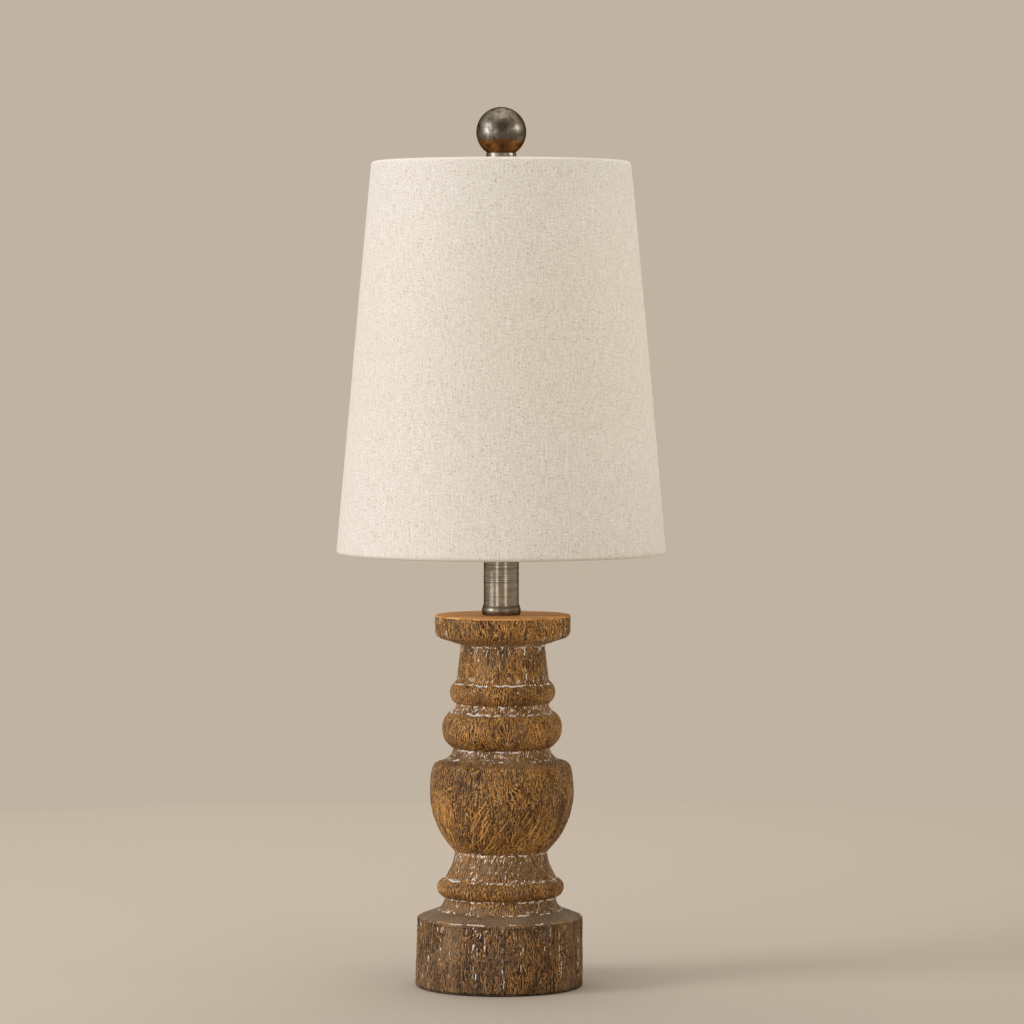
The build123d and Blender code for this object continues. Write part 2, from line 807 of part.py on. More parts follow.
# ---------------------------------------------------------------- turn key
with BuildPart() as key_bushing:
    with BuildSketch(Plane.XZ.offset(socket_body_radius + push_gap)):
        with Locations((0, key_z)):
            Circle(key_bushing_radius)
            Circle(key_shaft_radius + thread_gap, mode=Mode.SUBTRACT)
    extrude(amount=shell_radius - socket_body_radius + key_collar_length)
    with BuildSketch(Plane.XZ.offset(shell_radius + push_gap)):
        with Locations((0, key_z)):
            Circle(key_collar_radius)
            Circle(key_shaft_radius + thread_gap, mode=Mode.SUBTRACT)
    extrude(amount=key_collar_length)

with BuildPart() as key_shaft:
    with BuildSketch(Plane.XZ.offset(key_shaft_inner_end)):
        with Locations((0, key_z)):
            Circle(key_shaft_radius)
    extrude(amount=key_shaft_end - key_shaft_inner_end)

knob_y = shell_radius + key_collar_length + knob_gap
with BuildPart() as key_knob:
    with BuildSketch(Plane.XZ.offset(knob_y)):
        with Locations((0, key_z)):
            Circle(knob_radius)
            with PolarLocations(knob_radius, knob_flutes):
                Circle(knob_flute_radius, mode=Mode.SUBTRACT)
    extrude(amount=knob_length)
    with BuildSketch(Plane.XZ.offset(knob_y)):
        with Locations((0, key_z)):
            Circle(key_shaft_radius + push_gap)
    extrude(amount=key_shaft_end - knob_y + push_gap, mode=Mode.SUBTRACT)

# ---------------------------------------------------------------- bulb
def bulb_outline(inset):
    """Draws the bulb's half outline, set in from the outside: neck, hollow flare, ball.

    The flare's arc starts upright at the neck and meets the ball's arc tangentially."""
    neck_r, ball_r = bulb_neck_radius - inset, bulb_radius - inset
    # Its centre lies level with the flare's foot, as far out as makes the two arcs touch.
    flare_r = (bulb_neck_radius**2 + bulb_flare_drop**2 - bulb_radius**2) / (
        2 * (bulb_radius - bulb_neck_radius)
    )
    flare_x = bulb_neck_radius + flare_r
    flare_z = bulb_centre_z - bulb_flare_drop
    reach = hypot(flare_x, bulb_flare_drop)
    join = (ball_r * flare_x / reach, bulb_centre_z - ball_r * bulb_flare_drop / reach)
    Line((neck_r, bulb_neck_z), (neck_r, flare_z))
    RadiusArc((neck_r, flare_z), join, flare_r + inset)
    ThreePointArc(join, (ball_r, bulb_centre_z), (0, bulb_centre_z + ball_r))


with BuildPart() as bulb_glass:
    with BuildSketch(Plane.XZ):
        with BuildLine():
            bulb_outline(0)
            bulb_outline(bulb_wall)
            Line((0, bulb_top_z), (0, bulb_top_z - bulb_wall))
            Line((bulb_neck_radius, bulb_neck_z), (bulb_neck_radius - bulb_wall, bulb_neck_z))
        make_face()
    revolve(axis=Axis.Z)

with BuildPart() as bulb_cap:
    with BuildSketch(Plane.XZ):
        with BuildLine():
            taper_top_z = bulb_cap_z + bulb_cap_taper_height
            inner_cap_radius = bulb_cap_radius - bulb_cap_wall
            Polyline(
                (bulb_cap_foot_radius, bulb_cap_z),
                (bulb_cap_radius, taper_top_z),
                (bulb_cap_radius, bulb_cap_top_z),
                (inner_cap_radius, bulb_cap_top_z),
                (inner_cap_radius, taper_top_z),
                (bulb_cap_foot_radius - bulb_cap_wall, bulb_cap_z + bulb_cap_wall),
                (bulb_insulator_radius, bulb_cap_z + bulb_cap_wall),
                (bulb_insulator_radius, bulb_cap_z),
                close=True,
            )
        make_face()
    revolve(axis=Axis.Z)

with BuildPart() as bulb_insulator:
    with BuildSketch(Plane.XZ):
        with BuildLine():
            Polyline(
                (0, bulb_insulator_z),
                (bulb_insulator_radius, bulb_insulator_z),
                (bulb_cap_foot_radius, bulb_cap_z),
                (0, bulb_cap_z),
                close=True,
            )
        make_face()
    revolve(axis=Axis.Z)

with BuildPart() as bulb_tip:
    with BuildSketch(Plane.XZ):
        with BuildLine():
            tip_edge = (bulb_tip_radius, bulb_insulator_z)
            tip_arc_radius = upright_arc_radius(bulb_tip_height, bulb_tip_radius)
            RadiusArc((0, bulb_tip_z), tip_edge, -tip_arc_radius)
            Polyline(tip_edge, (0, bulb_insulator_z), (0, bulb_tip_z))
        make_face()
    revolve(axis=Axis.Z)

with BuildPart() as bulb_stem:
    with BuildSketch(Plane.XZ):
        with BuildLine():
            stem_top_z = bulb_neck_z + stem_length
            flange_radius = bulb_neck_radius - bulb_wall - push_gap
            Polyline(
                (0, bulb_neck_z),
                (flange_radius, bulb_neck_z),
                (flange_radius, bulb_neck_z + stem_flange_thickness),
                (stem_foot_radius, bulb_neck_z + stem_foot_height),
                (stem_radius, stem_top_z),
                (0, stem_top_z),
                close=True,
            )
        make_face()
    revolve(axis=Axis.Z)

with BuildPart() as bulb_filament:
    with BuildLine():
        FilletPolyline(
            (-filament_foot, 0, stem_top_z),
            (-filament_foot, 0, stem_top_z + 2 * filament_bend_radius),
            (-filament_half_width, 0, stem_top_z + filament_height),
            (filament_half_width, 0, stem_top_z + filament_height),
            (filament_foot, 0, stem_top_z + 2 * filament_bend_radius),
            (filament_foot, 0, stem_top_z),
            radius=filament_bend_radius,
        )
    with BuildSketch(Plane((-filament_foot, 0, stem_top_z))):
        Circle(filament_wire_radius)
    sweep()

# ---------------------------------------------------------------- shade
# The wall runs along a straight slant. A point near a rim is given by how far it lies
# along the slant from the rim wire's centre, and how far in from the outer surface.
slant_r = shade_bottom_radius - shade_top_radius
slant_length = hypot(slant_r, shade_height)
slant = Vector(slant_r / slant_length, -shade_height / slant_length)  # downwards
inward = Vector(-shade_height / slant_length, -slant_r / slant_length)
fold_radius = ring_wire_radius + ring_wire_gap + fabric_thickness


def wall_point(z, along, across):
    """Radius and height of a wall point, measured from the rim wire whose centre is at z."""
    outer_r = shade_bottom_radius - slant_r * (z - shade_bottom_z) / shade_height
    # The wire's centre lies fold_radius inside the outer surface, measured square to it.
    centre = Vector(outer_r - fold_radius * slant_length / shade_height, z)
    point = centre + slant * along + inward * (across - fold_radius)
    return (point.X, point.Y)


top_wire_z = shade_top_z - fold_radius
bottom_wire_z = shade_bottom_z + fold_radius
wall_inner = fabric_thickness + glue_gap + liner_sheet_thickness + glue_gap


def hem(z, sense, thickness):
    """Points along a hem on one face of the fabric, from its free end to the outer wall.

    sense is 1 at the bottom rim and -1 at the top; thickness is 0 on the outer face."""
    flap = wall_inner + fabric_thickness - thickness
    far = 2 * fold_radius - thickness
    return [
        wall_point(z, -sense * hem_length, flap),
        wall_point(z, -sense * hem_touch, flap),
        wall_point(z, -sense * hem_bend, far),
        wall_point(z, 0, far),
        wall_point(z, sense * (fold_radius - thickness), fold_radius),
        wall_point(z, 0, thickness),
    ]


def hem_lines(points):
    """Draws one face of a hem: the flap, the way out to the wire, and the fold round it."""
    Polyline(points[:4])
    ThreePointArc(points[3:])


arm_angles = [first_arm_angle + 360 * n / arm_count for n in range(arm_count)]
ring_centre_radius = wall_point(top_wire_z, 0, fold_radius)[0]

with BuildPart() as shade_fabric:
    with BuildSketch(Plane.XZ):
        with BuildLine():
            outer_hems = [
                hem(bottom_wire_z, 1, 0),
                hem(top_wire_z, -1, 0),
            ]
            inner_hems = [
                hem(bottom_wire_z, 1, fabric_thickness),
                hem(top_wire_z, -1, fabric_thickness),
            ]
            for bottom_hem, top_hem in (outer_hems, inner_hems):
                hem_lines(bottom_hem)
                Line(bottom_hem[-1], top_hem[-1])
                hem_lines(top_hem)
            for outer_hem, inner_hem in zip(outer_hems, inner_hems):
                Line(outer_hem[0], inner_hem[0])
        make_face()
    revolve(axis=Axis.Z)
    # The top hem is notched where each spider arm passes through it to the rim's wire.
    with Locations((0, 0, top_wire_z + arm_radius + push_gap)):
        with PolarLocations(ring_centre_radius, arm_count, start_angle=first_arm_angle):
            Box(
                2 * fold_radius,
                2 * (arm_radius + push_gap),
                hem_touch + arm_radius,
                align=(Align.MAX, Align.CENTER, Align.MAX),
                mode=Mode.SUBTRACT,
            )

with BuildPart() as shade_liner:
    with BuildSketch(Plane.XZ):
        with BuildLine():
            outer_across = fabric_thickness + glue_gap
            inner_across = outer_across + liner_sheet_thickness
            Polyline(
                wall_point(bottom_wire_z, -hem_bend, outer_across),
                wall_point(top_wire_z, hem_bend, outer_across),
                wall_point(top_wire_z, hem_bend, inner_across),
                wall_point(bottom_wire_z, -hem_bend, inner_across),
                close=True,
            )
        make_face()
    revolve(axis=Axis.Z)

with BuildPart() as shade_top_ring:
    with Locations((0, 0, top_wire_z)):
        Torus(ring_centre_radius, ring_wire_radius)

with BuildPart() as shade_bottom_ring:
    with Locations((0, 0, bottom_wire_z)):
        Torus(wall_point(bottom_wire_z, 0, fold_radius)[0], ring_wire_radius)

hub_socket_end = hub_radius - arm_socket_depth
with BuildPart() as spider_hub:
    with BuildSketch(Plane.XY.offset(seat_z)):
        ring_face(hub_radius, stud_radius + slide_gap)
    extrude(amount=hub_thickness)
    for angle in arm_angles:
        with BuildSketch(Plane.YZ.rotated((0, 0, angle)).offset(hub_socket_end)):
            with Locations((0, hub_middle_z)):
                Circle(arm_radius + push_gap)
        extrude(amount=arm_socket_depth, mode=Mode.SUBTRACT)


# Each arm runs out of the hub, level at first, then up to the rim's wire, where it is
# hollowed to fit against the wire.
with BuildPart() as spider_arms:
    for angle in arm_angles:
        heading = Vector(cos(radians(angle)), sin(radians(angle)), 0)
        arm_start = heading * (hub_socket_end + push_gap) + Vector(0, 0, hub_middle_z)
        arm_bend = heading * (hub_socket_end + arm_flat_length) + Vector(0, 0, hub_middle_z)
        arm_end = heading * ring_centre_radius + Vector(0, 0, top_wire_z)
        with BuildLine():
            FilletPolyline(arm_start, arm_bend, arm_end, radius=arm_bend_radius)
        with BuildSketch(Plane(origin=arm_start, z_dir=heading)):
            Circle(arm_radius)
        sweep()
    with Locations((0, 0, top_wire_z)):
        Torus(ring_centre_radius, ring_wire_radius, mode=Mode.SUBTRACT)

# ---------------------------------------------------------------- finial
with BuildPart() as finial_base:
    with BuildSketch(Plane.XZ):
        with BuildLine():
            bore_radius = stud_radius + thread_gap
            bore_top_z = stud_top_z + finial_bore_spare
            spigot_hole_radius = finial_spigot_radius + push_gap
            spigot_hole_z = finial_collar_top_z - finial_spigot_length - push_gap
            Polyline(
                (bore_radius, hub_top_z),
                (finial_flange_radius, hub_top_z),
                (finial_flange_radius, finial_stem_z),
                (finial_stem_radius, finial_stem_z),
                (finial_stem_radius, finial_collar_z),
                (finial_collar_radius, finial_collar_z),
                (finial_collar_radius, finial_collar_top_z),
                (spigot_hole_radius, finial_collar_top_z),
                (spigot_hole_radius, spigot_hole_z),
                (0, spigot_hole_z),
                (0, bore_top_z),
                (bore_radius, bore_top_z),
                close=True,
            )
        make_face()
    revolve(axis=Axis.Z)
    fillet(circles_of_radius(finial_base, finial_collar_radius), finial_edge_radius)
    fillet(circles_of_radius(finial_base, finial_flange_radius), finial_edge_radius)

with BuildPart() as finial_ball:
    with BuildSketch(Plane.XZ):
        with BuildLine():
            ThreePointArc(
                (finial_ball_foot_radius, finial_collar_top_z),
                (finial_ball_radius, finial_ball_z),
                (0, finial_ball_z + finial_ball_radius),
            )
            Polyline(
                (0, finial_ball_z + finial_ball_radius),
                (0, finial_collar_top_z - finial_spigot_length),
                (finial_spigot_radius, finial_collar_top_z - finial_spigot_length),
                (finial_spigot_radius, finial_collar_top_z),
                (finial_ball_foot_radius, finial_collar_top_z),
            )
        make_face()
    revolve(axis=Axis.Z)

# ---------------------------------------------------------------- write the nodes
pieces = {
    "felt_pad": felt_pad,
    "plinth": plinth,
    "turned_column": turned_column,
    "ballast_weight": ballast_weight,
    "lamp_pipe": lamp_pipe,
    "bottom_washer": bottom_washer,
    "bottom_nut": bottom_nut,
    "cord_bushing": cord_bushing,
    "neck_ring": neck_ring,
    "neck_tube": neck_tube,
    "neck_cap": neck_cap,
    "harp_saddle": harp_saddle,
    "saddle_nut": saddle_nut,
    "harp_wire_left": harp_wire_left,
    "harp_wire_right": harp_wire_right,
    "harp_crown": harp_crown,
    "harp_ferrule_left": harp_ferrule_left,
    "harp_ferrule_right": harp_ferrule_right,
    "swivel_stud": swivel_stud,
    "socket_cap": socket_cap,
    "socket_set_screw": socket_set_screw,
    "socket_shell": socket_shell,
    "socket_liner": socket_liner,
    "socket_body": socket_body,
    "terminal_screws": terminal_screws,
    "screw_shell": screw_shell,
    "centre_contact": centre_contact,
    "key_bushing": key_bushing,
    "key_shaft": key_shaft,
    "key_knob": key_knob,
    "bulb_glass": bulb_glass,
    "bulb_cap": bulb_cap,
    "bulb_insulator": bulb_insulator,
    "bulb_tip": bulb_tip,
    "bulb_stem": bulb_stem,
    "bulb_filament": bulb_filament,
    "shade_fabric": shade_fabric,
    "shade_liner": shade_liner,
    "shade_top_ring": shade_top_ring,
    "shade_bottom_ring": shade_bottom_ring,
    "spider_hub": spider_hub,
    "spider_arms": spider_arms,
    "finial_base": finial_base,
    "finial_ball": finial_ball,
}
for node_name, piece in pieces.items():
    save(piece, node_name)
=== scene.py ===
import math

import bpy
import numpy as np
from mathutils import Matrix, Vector


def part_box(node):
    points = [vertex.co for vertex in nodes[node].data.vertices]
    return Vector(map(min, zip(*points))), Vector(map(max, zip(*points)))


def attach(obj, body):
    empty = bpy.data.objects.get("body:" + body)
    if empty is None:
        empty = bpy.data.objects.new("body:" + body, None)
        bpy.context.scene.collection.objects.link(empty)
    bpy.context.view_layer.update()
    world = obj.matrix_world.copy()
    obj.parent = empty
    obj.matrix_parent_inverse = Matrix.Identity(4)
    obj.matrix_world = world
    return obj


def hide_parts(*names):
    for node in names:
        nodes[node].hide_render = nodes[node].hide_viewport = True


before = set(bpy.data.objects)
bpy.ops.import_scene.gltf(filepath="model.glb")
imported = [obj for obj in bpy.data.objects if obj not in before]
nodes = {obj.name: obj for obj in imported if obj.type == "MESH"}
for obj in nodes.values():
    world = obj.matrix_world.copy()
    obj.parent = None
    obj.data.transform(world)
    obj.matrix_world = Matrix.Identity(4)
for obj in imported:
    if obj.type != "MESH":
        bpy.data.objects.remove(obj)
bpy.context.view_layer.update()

MM = 0.001
TURN = 2 * math.pi

# Heights on the turned column where two shapes meet, in metres, from the foot up.
FOOT_Z = 0.0480
LOW_GROOVE_Z = 0.0562
LOW_BEAD_TOP_Z = 0.0678
WAIST_TOP_Z = 0.0847
SHOULDER_Z = 0.1372
SHOULDER_TOP_Z = 0.1409
COVE_TOP_Z = 0.1496
CUSHION_TOP_Z = 0.1720
SMALL_COVE_TOP_Z = 0.1776
TOP_BEAD_TOP_Z = 0.1918
NECK_TOP_Z = 0.2143
DISC_SIDE_Z = 0.2230

# How far the wood has wandered to the side at some heights.
WANDER_HEIGHTS = np.array([0, 44, 60, 110, 160, 190, 215, 240]) * MM
WANDER_ASIDE = np.array([-1.4, -0.7, -0.5, 0.1, 0.4, 0.7, 0.9, 1.2]) * MM

# The metal ring on the disc stands inside the first radius, and the column's foot inside the second. The
# plinth's crease, where its side turns into the sloping top, is so far below its highest point.
METAL_RING_R = 16 * MM
COLUMN_FOOT_R = 40.5 * MM
CREASE_DROP = 4.5 * MM

# The plinth's inside: mortise, pipe hole, hollow for the ballast, and recess for the felt.
MORTISE_R, MORTISE_DEPTH = 14.1 * MM, 10.3 * MM
PIPE_HOLE_R = 5.01 * MM
HOLLOW_R, HOLLOW_HEIGHT = 38 * MM, 29.5 * MM
RECESS_R, RECESS_DEPTH = 50.6 * MM, 1 * MM

# The inlet in the plinth's back: the hole, the flat seat round it, and the cutter's two ends, with the
# hair-thin core that a closed lathe keeps on its axis there.
INLET_R, SEAT_R = 4.9 * MM, 7.15 * MM
SEAT_DEPTH = 1.5 * MM
CUTTER_FROM_Y, CUTTER_TO_Y = 30 * MM, 60 * MM
CORE_FROM_R, CORE_TO_R = 0.00715 * MM, 0.01 * MM

# The shade's cover: the cloth, the liner's inner face, and the hem turned in behind the liner.
CLOTH = 0.6 * MM
LINER_SIDE = 1.5 * MM
HEM_LENGTH = 9 * MM
HEM_TOUCH = 4.6 * MM
HEM_RISE = 2.8 * MM
HEM_AT_WIRE = 1 * MM
LAP_STEP = 0.45 * MM


# ---------- meshes
def closed_lathe(name, rings):
    """A closed solid from rings of points, shaped (rings, points round, 3). The last ring joins the first."""
    count, around = rings.shape[:2]
    index = np.arange(count * around).reshape(count, around)
    right = np.roll(index, -1, axis=1)
    above = np.roll(index, -1, axis=0)
    faces = np.stack([index, right, np.roll(above, -1, axis=1), above], axis=-1).reshape(-1, 4)
    mesh = bpy.data.meshes.new(name)
    mesh.from_pydata(rings.reshape(-1, 3).tolist(), [], faces.tolist())
    mesh.polygons.foreach_set("use_smooth", np.ones(len(faces), bool))
    mesh.validate()
    piece = bpy.data.objects.new(name, mesh)
    bpy.context.scene.collection.objects.link(piece)
    return piece


def round_angles(around):
    return np.arange(around) * TURN / around


def spun(outline, around):
    """Rings round Z from an outline of (radius, height) points."""
    angle = round_angles(around)
    rings = np.empty((len(outline), around, 3))
    rings[..., 0] = outline[:, :1] * np.cos(angle)
    rings[..., 1] = outline[:, :1] * np.sin(angle)
    rings[..., 2] = outline[:, 1:]
    return rings


def mesh_points(mesh):
    points = np.empty(len(mesh.vertices) * 3)
    mesh.vertices.foreach_get("co", points)
    return points.reshape(-1, 3)


def outer_outline(name, low_z, smallest):
    """The outside of a lathed CAD node above low_z, as (radius, height) points from the bottom up."""
    level_mm = 0.01
    points = mesh_points(nodes[name].data)
    front = points[(points[:, 1] <= 0) & (points[:, 2] >= low_z - level_mm * MM)]
    radius = np.hypot(front[:, 0], front[:, 1])
    levels = np.round(front[:, 2] / (level_mm * MM)).astype(int)
    rows = []
    for level in np.unique(levels):
        widest = radius[levels == level].max()
        if widest > smallest:
            rows.append((widest, level * level_mm * MM))
    return np.array(rows)


def resampled(outline, step):
    """The outline in even steps: the distance along it, the points and their outward normals."""
    lengths = np.hypot(*np.diff(outline, axis=0).T)
    along = np.concatenate([[0], np.cumsum(lengths)])
    count = int(round(along[-1] / step)) + 1
    s = np.linspace(0, along[-1], count)
    points = np.stack([np.interp(s, along, outline[:, 0]), np.interp(s, along, outline[:, 1])], axis=1)
    way = np.gradient(points, axis=0)
    way /= np.hypot(way[:, 0], way[:, 1])[:, None]
    normal = np.stack([way[:, 1], -way[:, 0]], axis=1)
    return s, points, normal


# ---------- noise
def lattice(i, j, k, seed):
    """A repeatable number from 0 to 1 for each whole-number grid point."""
    n = (i * 73856093) ^ (j * 19349663) ^ (k * 83492791) ^ (seed * 2654435761)
    n = n & 0xFFFFFFFF
    n = ((n ^ (n >> 15)) * 2246822519) & 0xFFFFFFFF
    n = ((n ^ (n >> 13)) * 3266489917) & 0xFFFFFFFF
    return (n ^ (n >> 16)) / 4294967295.0


def noise(points, size, seed):
    """Smooth noise from 0 to 1 with features about size across; size is a number or one per axis."""
    p = points / np.asarray(size)
    cell = np.floor(p).astype(np.int64)
    f = p - cell
    f = f * f * (3 - 2 * f)
    total = 0
    for dx in (0, 1):
        for dy in (0, 1):
            for dz in (0, 1):
                weight = (
                    np.where(dx, f[..., 0], 1 - f[..., 0])
                    * np.where(dy, f[..., 1], 1 - f[..., 1])
                    * np.where(dz, f[..., 2], 1 - f[..., 2])
                )
                corner = lattice(cell[..., 0] + dx, cell[..., 1] + dy, cell[..., 2] + dz, seed)
                total = total + weight * corner
    return total


def smooth_step(x, low, high):
    t = np.clip((x - low) / (high - low), 0, 1)
    return t * t * (3 - 2 * t)


def band(z, middle, half):
    """1 at the middle height, fading to 0 at half away from it."""
    return np.clip(1 - np.abs(z - middle) / half, 0, 1)


# ---------- carved wood
# Channels of a carving's finish: dark cut and painted crease shade, white filler, grey haze of wax, bare tan
# wood.
CUT_AND_SHADE, FILLER, HAZE, BARE = range(4)


class Carving:
    """The surface of a turned piece: how far each point is pushed out, and the four channels of its finish,
    painted shade among them.
    """

    def __init__(self, outline, step, around, seed):
        self.s, self.outline, self.normal = resampled(outline, step)
        self.around = around
        self.push = np.zeros((len(self.s), around))
        self.finish_and_shade = np.zeros((len(self.s), around, 4))
        self.points = spun(self.outline, around)
        self.radius = self.outline[:, 0]
        self.height = self.outline[:, 1]
        self.z = self.height[:, None]
        self.random = np.random.RandomState(seed)

    def s_at(self, z):
        """Distance along the outline at a height; the outline climbs all the way."""
        return np.interp(z, self.height, self.s)

    def mark(self, channel, amount):
        """Raises one channel of the finish to the amount wherever it is less."""
        self.finish_and_shade[..., channel] = np.maximum(self.finish_and_shade[..., channel], amount)

    def stroke(self, angle, s, length, lean, bend, half_width, depth, marks):
        """One cut along the surface, in metres. lean is its angle from upright, bend is how much it curves,
        and marks says what it leaves in the channels of the finish."""
        fade = 3 * half_width
        reach = length / 2 + fade
        rows = np.nonzero(np.abs(self.s - s) < reach)[0]
        if not len(rows):
            return
        row_radius = self.radius[rows]
        side = length / 2 * abs(math.sin(lean)) + abs(bend) * length * length / 4 + fade
        columns_each_side = int(side / row_radius.min() * self.around / TURN) + 1
        middle = int(round(angle / TURN * self.around))
        columns = np.arange(middle - columns_each_side, middle + columns_each_side + 1)
        up = (self.s[rows] - s)[:, None]
        sideways = row_radius[:, None] * (columns * TURN / self.around - angle)[None, :]
        along = up * math.cos(lean) + sideways * math.sin(lean)
        across = sideways * math.cos(lean) - up * math.sin(lean) - bend * along * along
        ends = np.clip(1 - (2 * along / length) ** 4, 0, 1)
        shape = np.exp(-((across / half_width) ** 2)) * ends
        block = np.ix_(rows, columns % self.around)
        self.push[block] -= depth * shape
        for channel, amount in marks.items():
            place = block + (channel,)
            self.finish_and_shade[place] = np.maximum(self.finish_and_shade[place], amount * shape)

    def strokes(self, count, heights, length, half_width, depth, marks, lean=0, spread=0, bend=0, white=0):
        """Many cuts between two heights, leaning by lean, give or take spread, in radians. length, half_width
        (both a range) and depth are in millimetres. white is the share of the cuts that keep their filler."""
        pick = self.random.uniform
        low_s, high_s = self.s_at(heights[0]), self.s_at(heights[1])
        shortest, longest = (value * MM for value in length)
        thinnest, widest = (value * MM for value in half_width)
        for _ in range(count):
            cut = dict(marks)
            if pick() < white:
                cut[FILLER] = pick(0.6, 1.0)
            self.stroke(
                pick(0, TURN),
                pick(low_s, high_s),
                pick(shortest, longest),
                lean + self.random.normal() * spread,
                pick(-bend, bend),
                pick(thinnest, widest),
                depth * MM * pick(0.5, 1.0),
                cut,
            )

    def solid(self, name, amount, inner):
        """The carved piece, with each ring's push times its amount, closed by the inner outline."""
        out = (self.push * amount[:, None])[..., None]
        rings = self.points + spun(self.normal, self.around) * out
        piece = closed_lathe(name, np.concatenate([rings, spun(np.array(inner), self.around)]))
        put_finish_and_shade(piece, self.finish_and_shade)
        wander_sideways(piece)
        return piece


def wander_sideways(piece):
    """Old turning is never quite straight: the wood wanders to the side as it climbs."""
    points = mesh_points(piece.data)
    points[:, 0] += np.interp(points[:, 2], WANDER_HEIGHTS, WANDER_ASIDE)
    piece.data.vertices.foreach_set("co", points.ravel())
    piece.data.update()


def put_finish_and_shade(piece, finish_and_shade):
    """Stores the finish and painted shade on the first points of the mesh; the rest, inside, stay bare."""
    mesh = piece.data
    layer = mesh.color_attributes.new("finish_and_shade", "FLOAT_COLOR", "POINT")
    values = np.zeros((len(mesh.vertices), 4))
    values[: finish_and_shade.shape[0] * finish_and_shade.shape[1]] = np.clip(finish_and_shade, 0, 1).reshape(-1, 4)
    layer.data.foreach_set("color", values.ravel())


def rough_wood(carving, ridge, tangle):
    """The uneven surface of old turned wood: a slight wobble, upright grain ridges of one height and fine
    tangled tool marks of another, both in millimetres."""
    points = carving.points
    warp = (noise(points, 9 * MM, seed=11)[..., None] - 0.5) * np.array([4, 4, 0]) * MM
    wobble = (noise(points, 38 * MM, seed=1) - 0.5) * 0.5 + (noise(points, 12 * MM, seed=2) - 0.5) * 0.3
    ridges = np.abs(noise(points + warp, (1.7 * MM, 1.7 * MM, 12 * MM), seed=3) - 0.5) * 2
    fine = np.abs(noise(points + warp, (1.1 * MM, 1.1 * MM, 2.4 * MM), seed=4) - 0.5) * 2
    carving.push += wobble * MM
    carving.push += (ridges - 0.5) * ridge * MM
    carving.push += (fine - 0.5) * tangle * MM
    carving.mark(CUT_AND_SHADE, 0.6 * (1 - smooth_step(ridges, 0.0, 0.18)))
    carving.mark(BARE, 0.6 * smooth_step(ridges * fine, 0.35, 0.7))


